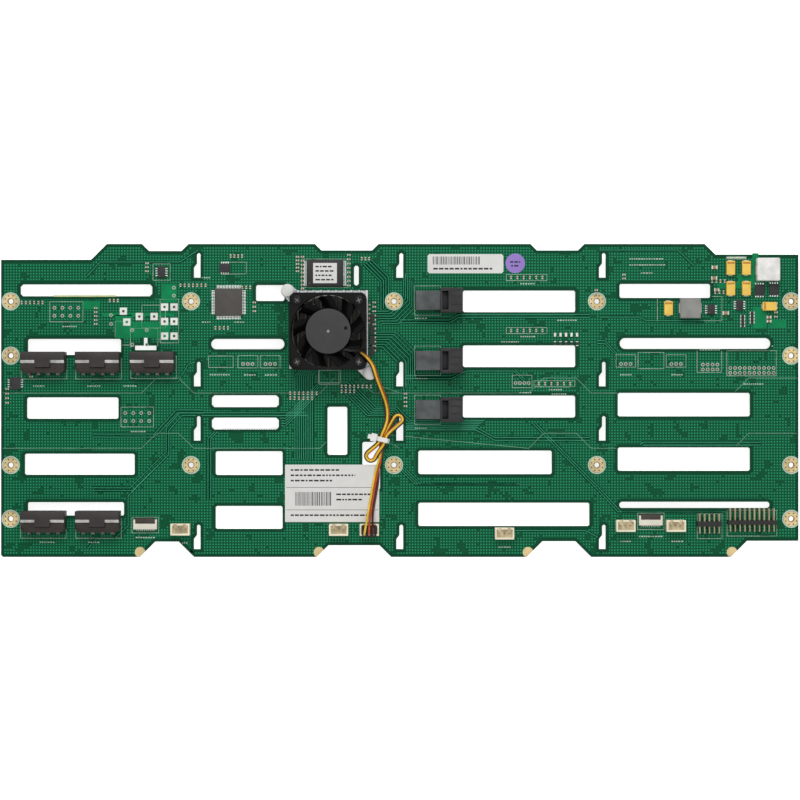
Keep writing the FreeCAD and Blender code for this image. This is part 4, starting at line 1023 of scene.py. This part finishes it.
# One blade: an arc of the right camber is set on the hub's side and drawn out to the tip.
blade_angle = math.radians(38)
chord_root = 8.36 * mm
chord_tip = 9.86 * mm
blade_reach = 18.1 * mm
blade_steps = 6
arc_radius = 1.1 * chord_root
arc_half = math.radians(28.5)
arc_drop = 0.94 * arc_radius
sweep = math.radians(16)
blade_count = 9
bpy.ops.mesh.primitive_circle_add(vertices=60, radius=arc_radius, fill_type="NOTHING")
blade = bpy.context.object
bpy.ops.object.mode_set(mode="EDIT")
bpy.ops.mesh.select_mode(type="VERT")
bpy.ops.mesh.select_all(action="DESELECT")
close_edit()
for corner in blade.data.vertices:
    corner.select = corner.co.y < arc_radius * math.cos(arc_half)
bpy.ops.object.mode_set(mode="EDIT")
bpy.ops.mesh.delete(type="VERT")
bpy.ops.mesh.select_all(action="SELECT")
bpy.ops.transform.translate(value=(0, -arc_drop, 0))
close_edit()
blade.rotation_euler = (math.pi / 2, blade_angle, math.pi / 2)
bpy.ops.object.transform_apply()
root_x = hub_radius - 0.8 * mm
stride = (blade_reach - root_x) / blade_steps
growth = (chord_tip / chord_root) ** (1 / blade_steps)
edit()
bpy.ops.transform.translate(value=(root_x, 0, 0))
for step in range(blade_steps):
    bpy.ops.mesh.extrude_edges_move(TRANSFORM_OT_translate={"value": (stride, 0, 0)})
    resize(1, growth, growth)
close_edit()
for corner in blade.data.vertices:
    corner.co.z += hub_top - hub_height / 2
modify(blade, "SOLIDIFY", thickness=0.9 * mm, offset=0)
edit()
close_edit(outward=True)
for corner in blade.data.vertices:
    x, y = corner.co.x, corner.co.y
    turn = sweep * (math.hypot(x, y) - root_x) / (blade_reach - root_x)
    corner.co.x = x * math.cos(turn) - y * math.sin(turn)
    corner.co.y = x * math.sin(turn) + y * math.cos(turn)
blades = copies(blade, "blades", [(0, 0, 0, index * 2 * math.pi / blade_count)
                                  for index in range(blade_count)])
pick(hub, blades)
bpy.ops.object.join()
for corner in hub.data.vertices:
    corner.co.x += fan_x
    corner.co.y += fan_y
bpy.ops.object.shade_smooth_by_angle(angle=math.radians(40))
place_piece(hub, "fan_wheel", fan_gloss, "fan_rotor")
second_finish(hub, hub_matte, lambda face: face.center.z > hub_top - 0.8 * mm and math.hypot(
    face.center.x - fan_x, face.center.y - fan_y) < hub_radius - 0.3 * mm)
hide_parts("fan_impeller")
scatter(flat_ring(0.95 * mm, 0, 0.02 * mm, 24), "hub_dimple",
        [(fan_x + 9.1 * mm, fan_y + 1.6 * mm, hub_top, 0)], fan_gloss, "fan_rotor")
scatter(flat_ring(0.7 * mm, 0, 0.03 * mm, 24), "hub_centre", [(fan_x, fan_y, hub_top, 0)],
        grained("centre_mark", (0.3, 0.3, 0.3), 0.4), "fan_rotor")
steel = grained("ground_steel", (0.6, 0.6, 0.6), 0.2, drift=0.1, grain=2000, metallic=1.0)
dress("fan_shaft", steel)
dress("fan_magnet", grained("ring_magnet", (0.03, 0.03, 0.032), 0.5, drift=0.2, grain=1500))
dress("fan_coils", grained("coil_copper", (0.5, 0.17, 0.06), 0.3, drift=0.4, grain=2500,
                           metallic=0.8))

# Fan screws: black pan heads with a cross recess. The recess floor is painted light grey as a
# painted highlight.
screw_black = grained("screw_black", (0.008, 0.008, 0.008), 0.2, drift=0.2, grain=1500,
                      specular=0.1)
screw_recess = grained("screw_recess", (0.16, 0.16, 0.155), 0.3, drift=0.4, grain=900,
                       metallic=0.4)
boxes = solid_boxes("fan_screws")
low, high = boxes[0]
head_radius = (high[0] - low[0]) / 2
head_height = high[2] - low[2]
recess_floor = high[2] - 0.8 * mm
bpy.ops.mesh.primitive_cylinder_add(vertices=40, radius=head_radius, depth=head_height,
                                    location=(0, 0, head_height / 2))
screw = bpy.context.object
bpy.ops.object.transform_apply()
edit(lambda face: face.normal.z > 0.9)
bpy.ops.mesh.bevel(offset=0.7 * mm, segments=5)
close_edit()
for turn in (0, math.pi / 2):
    cutter = small_bar((2.7 * mm, 0.6 * mm, 2 * mm))
    cutter.location = (0, 0, head_height - 0.8 * mm)
    cutter.rotation_euler = (0, 0, turn + 0.4)
    pick(screw)
    modify(screw, "BOOLEAN", object=cutter, solver="EXACT")
    bpy.data.objects.remove(cutter)
bpy.ops.object.shade_smooth_by_angle(angle=math.radians(30))
screws = scatter(screw, "fan_screw_heads", [(*middle(*box), box[0][2], 0.5 * index)
                                            for index, box in enumerate(boxes)],
                 screw_black)
second_finish(screws, screw_recess, lambda face: face.normal.z > 0.8
              and abs(face.center.z - recess_floor) < 0.1 * mm)
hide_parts("fan_screws")

# Plug and tie of the fan lead.
dress("fan_plug", grained("plug_black", (0.016, 0.01, 0.01), 0.35, drift=0.3, grain=1200))
dress("cable_tie", grained("tie_nylon", (0.8, 0.8, 0.77), 0.35, drift=0.08, grain=1500))

# ---- Chips -------------------------------------------------------------------------------------
# Black epoxy packages with tinned gull-wing leads: a memory chip, a quad-flat controller, small
# drivers and two power transistors, all soldered to the board.
chip_grey = grained("chip_grey", (0.075, 0.07, 0.062), 0.5, drift=0.2, grain=2500, relief=0.2)
softened("flash_chip", chip_resin, 0.2 * mm)
softened("controller_chip", chip_grey, 0.25 * mm)
softened("small_chips", chip_resin, 0.15 * mm)
softened("power_transistors", chip_resin, 0.12 * mm)


def gull_lead(width, reach, height):
    """A lead along +X: out of the package, down, and along the board."""
    bpy.ops.mesh.primitive_plane_add(size=1)
    lead = bpy.context.object
    edit()
    resize(0.16 * mm, width, 1)
    bpy.ops.transform.rotate(value=math.pi / 2, orient_axis="Y", center_override=(0, 0, 0))
    bpy.ops.transform.translate(value=(-0.3 * mm, 0, height))
    for out, down in ((0.3 * mm + 0.3 * reach, 0), (0.2 * reach, -(height - 0.1 * mm)),
                      (0.5 * reach, 0)):
        extrude(out, 0, down)
    close_edit(outward=True)
    return lead


def lead_rows(name, boxes, sides, count, pitch, width, reach, share=0.5):
    """Rows of gull-wing leads on the given sides of each package."""
    places = []
    for low, high in boxes:
        x, y = middle(low, high)
        for side in sides:
            turn = side * math.pi / 2
            out = (high[side % 2] - low[side % 2]) / 2
            for index in range(count):
                along = (index - (count - 1) / 2) * pitch
                places.append((x + out * math.cos(turn) - along * math.sin(turn),
                               y + out * math.sin(turn) + along * math.cos(turn),
                               board_top, turn))
    height = (boxes[0][1][2] - boxes[0][0][2]) * share
    scatter(gull_lead(width, reach, height), name, places, solder)


lead_rows("flash_leads", solid_boxes("flash_chip"), (0, 2), 24, 0.55 * mm, 0.24 * mm, 1.4 * mm)
lead_rows("controller_leads", solid_boxes("controller_chip"), (0, 1, 2, 3), 16, 0.8 * mm,
          0.36 * mm, 1.7 * mm)
small_boxes = solid_boxes("small_chips")
tall = [box for box in small_boxes if box[1][1] - box[0][1] > box[1][0] - box[0][0]]
wide = [box for box in small_boxes if box not in tall]
lead_rows("driver_leads", tall, (0, 2), 4, 1.2 * mm, 0.42 * mm, 1.1 * mm)
lead_rows("buffer_leads", wide, (1, 3), 4, 1.2 * mm, 0.42 * mm, 1.0 * mm)
lead_rows("transistor_leads", solid_boxes("power_transistors"), (1, 3), 4, 1.27 * mm, 0.6 * mm,
          0.7 * mm, 0.25)
dimpled = [(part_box("flash_chip"), 1.6), (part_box("controller_chip"), 1.9)]
dimpled += [(box, 0.9) for box in small_boxes]
scatter(flat_ring(0.45 * mm, 0, 0.015 * mm, 16), "chip_dimples",
        [(box[0][0] + inset * mm, box[0][1] + inset * mm, box[1][2], 0)
         for box, inset in dimpled], chip_grey)

# ---- Coils and capacitors ----------------------------------------------------------------------
# The supply in the far corner has a shielded coil pressed from pale ferrite, a darker one with
# tinned side clips, moulded tantalum capacitors with a bar at the positive end, and ceramics.
pale_ferrite = grained("pale_ferrite", (0.9, 0.89, 0.86), 0.6, drift=0.3, grain=900, relief=0.3,
                       depth=0.05 * mm)
grey_ferrite = grained("grey_ferrite", (0.28, 0.28, 0.265), 0.55, drift=0.25, grain=900, relief=0.3,
                       depth=0.05 * mm)
softened("large_inductor", pale_ferrite, 0.7 * mm, segments=3)
softened("small_inductor", grey_ferrite, 0.5 * mm, segments=3)
tantalum_orange = grained("tantalum_orange", (0.92, 0.6, 0.11), 0.42, drift=0.15, grain=1500)
softened("tantalum_capacitors", tantalum_orange, 0.25 * mm)
ceramic_tan = grained("ceramic_tan", (0.33, 0.23, 0.13), 0.45, drift=0.2, grain=1500)
softened("ceramic_capacitors", ceramic_tan, 0.12 * mm)
resistor_black = grained("resistor_black", (0.02, 0.02, 0.022), 0.35, drift=0.2, grain=1500)
softened("chip_resistors", resistor_black, 0.06 * mm, segments=1)
softened("resistor_packs", resistor_black, 0.08 * mm, segments=1)
light_lens = grained("light_lens", (0.75, 0.78, 0.7), 0.2, drift=0.1, grain=1500, coat=0.3)
softened("power_lights", light_lens, 0.12 * mm, segments=2)


def end_caps(name, boxes, depth, proud, finish):
    """Tinned caps over both ends of each long part."""
    made = []
    for low, high in boxes:
        size = [high[axis] - low[axis] for axis in range(3)]
        axis = 0 if size[0] > size[1] else 1
        for end, inward in ((low, 1), (high, -1)):
            cap_size = [size[0] + 2 * proud, size[1] + 2 * proud, size[2] + proud]
            cap_size[axis] = depth
            cap = small_bar(cap_size, proud)
            place = [*middle(low, high), board_top]
            place[axis] = end[axis] + inward * (depth / 2 - proud)
            cap.location = place
            made.append(cap)
    return place_piece(joined(made), name, finish)


for name, node, depth, proud in [("ceramic_caps", "ceramic_capacitors", 0.6, 0.05),
                                 ("resistor_caps", "chip_resistors", 0.45, 0.04),
                                 ("light_caps", "power_lights", 0.4, 0.04)]:
    end_caps(name, solid_boxes(node), depth * mm, proud * mm, pin_tin)
bar_inset = 1.1 * mm
tab_spots = []
bar_spots = []
for low, high in solid_boxes("tantalum_capacitors"):
    x, y = middle(low, high)
    upright = high[1] - low[1] > high[0] - low[0]
    turn = math.pi / 2 if upright else 0
    half = (high[1] - low[1]) / 2 if upright else (high[0] - low[0]) / 2
    for end in (-1, 1):
        tab_spots.append((x, y + end * half, board_top, turn) if upright
                         else (x + end * half, y, board_top, turn))
    bar_spots.append((x, y + half - bar_inset, high[2], turn) if upright
                     else (x - half + bar_inset, y, high[2], turn))
scatter(small_bar((0.9 * mm, 2.4 * mm, 1.5 * mm), 0.2 * mm), "tantalum_tabs", tab_spots, pin_tin)
polarity = grained("polarity_brown", (0.55, 0.25, 0.04), 0.45, drift=0.15, grain=1500)
scatter(small_bar((1.0 * mm, 3.9 * mm, 0.02 * mm)), "tantalum_bars", bar_spots, polarity)
clip_spots = []
for node in ("large_inductor", "small_inductor"):
    low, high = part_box(node)
    for x in (low[0], high[0]):
        clip_spots.append((x, middle(low, high)[1], board_top, 0))
scatter(small_bar((0.8 * mm, 5.2 * mm, 3.6 * mm), 0.25 * mm), "coil_clips", clip_spots,
        bright_tin)

# Small chip parts in strips: one model, copied along each strip.
small_part_strips = [
    (-53.8, 75.6, 5, 0, -1.9), (-51.2, 75.6, 9, 0, -2.1), (-26.8, 76.6, 8, 0, -2.3),
    (-20.0, 74.6, 3, 1.9, 0),
    (-16.4, 50.4, 5, 0, -2.4), (-13.4, 51.6, 12, 0, -2.3), (-57.6, 3.8, 7, 2.3, 0),
    (-57.6, 1.2, 6, 2.3, 0), (-30.6, 7.4, 8, 2.2, 0), (-30.6, 4.8, 4, 2.2, 0),
    (-206.6, -1.2, 4, 0, 2.4), (-199.0, 51.5, 6, 2.2, 0), (-85.0, 59.5, 5, 2.1, 0),
    (-115.4, 60.6, 7, 2.2, 0), (-97.0, 38.2, 4, 2.2, 0),
    (-76.5, 47.0, 4, 0, 2.3), (-133.0, 68.0, 3, 0, 2.1), (58.6, 64.7, 6, 3.3, 0),
    (58.6, 36.8, 6, 3.3, 0), (73.2, 8.8, 6, 3.3, 0), (-194.0, 12.6, 3, 0, 2.2),
    (3.0, -3.0, 4, 0, 2.2), (166.0, 57.0, 4, 2.2, 0), (-160.0, 48.6, 5, 0, -2.1),
    (-152.6, 52.6, 3, 2.1, 0), (-89.0, 76.0, 4, 2.0, 0), (118.0, 66.2, 2, 0, -2.0),
    (103.4, 58.0, 3, 0, -2.3), (164.4, 62.8, 4, 2.2, 0), (198.0, 51.0, 4, 0, -2.3),
]
clear_margin = 1.2
strip_places = []
for x, y, count, step_x, step_y in small_part_strips:
    turn = math.pi / 2 if step_x else 0
    for index in range(count):
        part_x, part_y = x + index * step_x, y + index * step_y
        if on_board(part_x, part_y, clear_margin):
            strip_places.append((part_x * mm, part_y * mm, board_top, turn))
scatter(small_bar((1.5 * mm, 0.85 * mm, 0.5 * mm), 0.06 * mm), "strip_parts", strip_places,
        ceramic_tan)
strip_ends = [(x + end * math.cos(turn), y + end * math.sin(turn), z, turn)
              for x, y, z, turn in strip_places for end in (-0.65 * mm, 0.65 * mm)]
scatter(small_bar((0.42 * mm, 0.95 * mm, 0.55 * mm), 0.06 * mm), "strip_part_ends", strip_ends,
        pin_tin)

# ---- Stickers ----------------------------------------------------------------------------------
# White paper labels with plain printed bars and bar codes, and a small round purple one.
label_white = grained("label_white", (0.72, 0.715, 0.69), 0.55, drift=0.05, grain=1200, relief=0.1)
purple_paper = grained("label_purple", (0.3, 0.2, 0.56), 0.5, drift=0.08, grain=1200, relief=0.1)
for node in ("product_sticker", "serial_sticker", "chip_sticker"):
    dress(node, label_white)
dress("round_sticker", purple_paper)
ink = grained("label_ink", (0.02, 0.02, 0.022), 0.5, drift=0.2, grain=2500)


def bar_code(left, bottom, length, height):
    """Upright bars of uneven width: start and end points of each, sorted by width."""
    thin, thick_bars = [], []
    at = left
    while at < left + length:
        wide_bar = random.random() < 0.35
        (thick_bars if wide_bar else thin).append(([(at, bottom), (at, bottom + height)], False))
        at += 0.9 if wide_bar else random.choice((0.5, 0.7))
    return thin, thick_bars


def printed_row(left, y, length, height):
    """A row of words shown as plain short bars."""
    words = []
    at = left
    while at < left + length:
        word = random.uniform(0.9, 2.6)
        words.append(([(at, y), (min(at + word, left + length), y)], False))
        at += word + height * 0.7
    return words


def printed(name, lines, width, top):
    """Ink lines printed on a label."""
    lines_piece(name, lines, width, ink, 0.01 * mm, top)


low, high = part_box("product_sticker")
left, bottom, label_top = low[0] / mm, low[1] / mm, high[2]
thin, thick_bars = bar_code(left + 5.5, bottom + 8.6, 19, 7.2)
printed("product_thin_bars", thin, 0.22 * mm, label_top)
printed("product_thick_bars", thick_bars, 0.45 * mm, label_top)
printed("product_rules", [([(left + 0.6, bottom + up), (left + 49, bottom + up)], False)
                          for up in (18.2, 6.4)], 0.22 * mm, label_top)
words = []
for right, up, length, height in [(3, 27.4, 26, 0.9), (3, 24.6, 34, 0.9), (3, 21.8, 22, 0.9),
                                  (27, 14.6, 18, 0.8), (27, 11.8, 14, 0.8), (3, 3.6, 40, 0.8)]:
    words += printed_row(left + right, bottom + up, length, height)
printed("product_words", words, 0.85 * mm, label_top)
low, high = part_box("serial_sticker")
left, bottom, label_top = low[0] / mm, low[1] / mm, high[2]
thin, thick_bars = bar_code(left + 3, bottom + 4.6, 25, 4.2)
printed("serial_thin_bars", thin, 0.22 * mm, label_top)
printed("serial_thick_bars", thick_bars, 0.42 * mm, label_top)
printed("serial_words", printed_row(left + 3, bottom + 2.4, 31, 0.9), 0.9 * mm, label_top)
low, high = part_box("chip_sticker")
words = []
for row in range(4):
    words += printed_row(low[0] / mm + 1.2, low[1] / mm + 1.8 + 2.3 * row,
                         10 - 1.5 * (row % 2), 0.8)
printed("chip_words", words, 0.8 * mm, high[2])
low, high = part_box("round_sticker")
left, y = low[0] / mm, middle(low, high)[1] / mm
words = printed_row(left + 2.4, y + 0.7, 5.4, 0.8) + printed_row(left + 3.0, y - 1.3, 4.2, 0.8)
printed("round_words", words, 0.8 * mm, high[2])
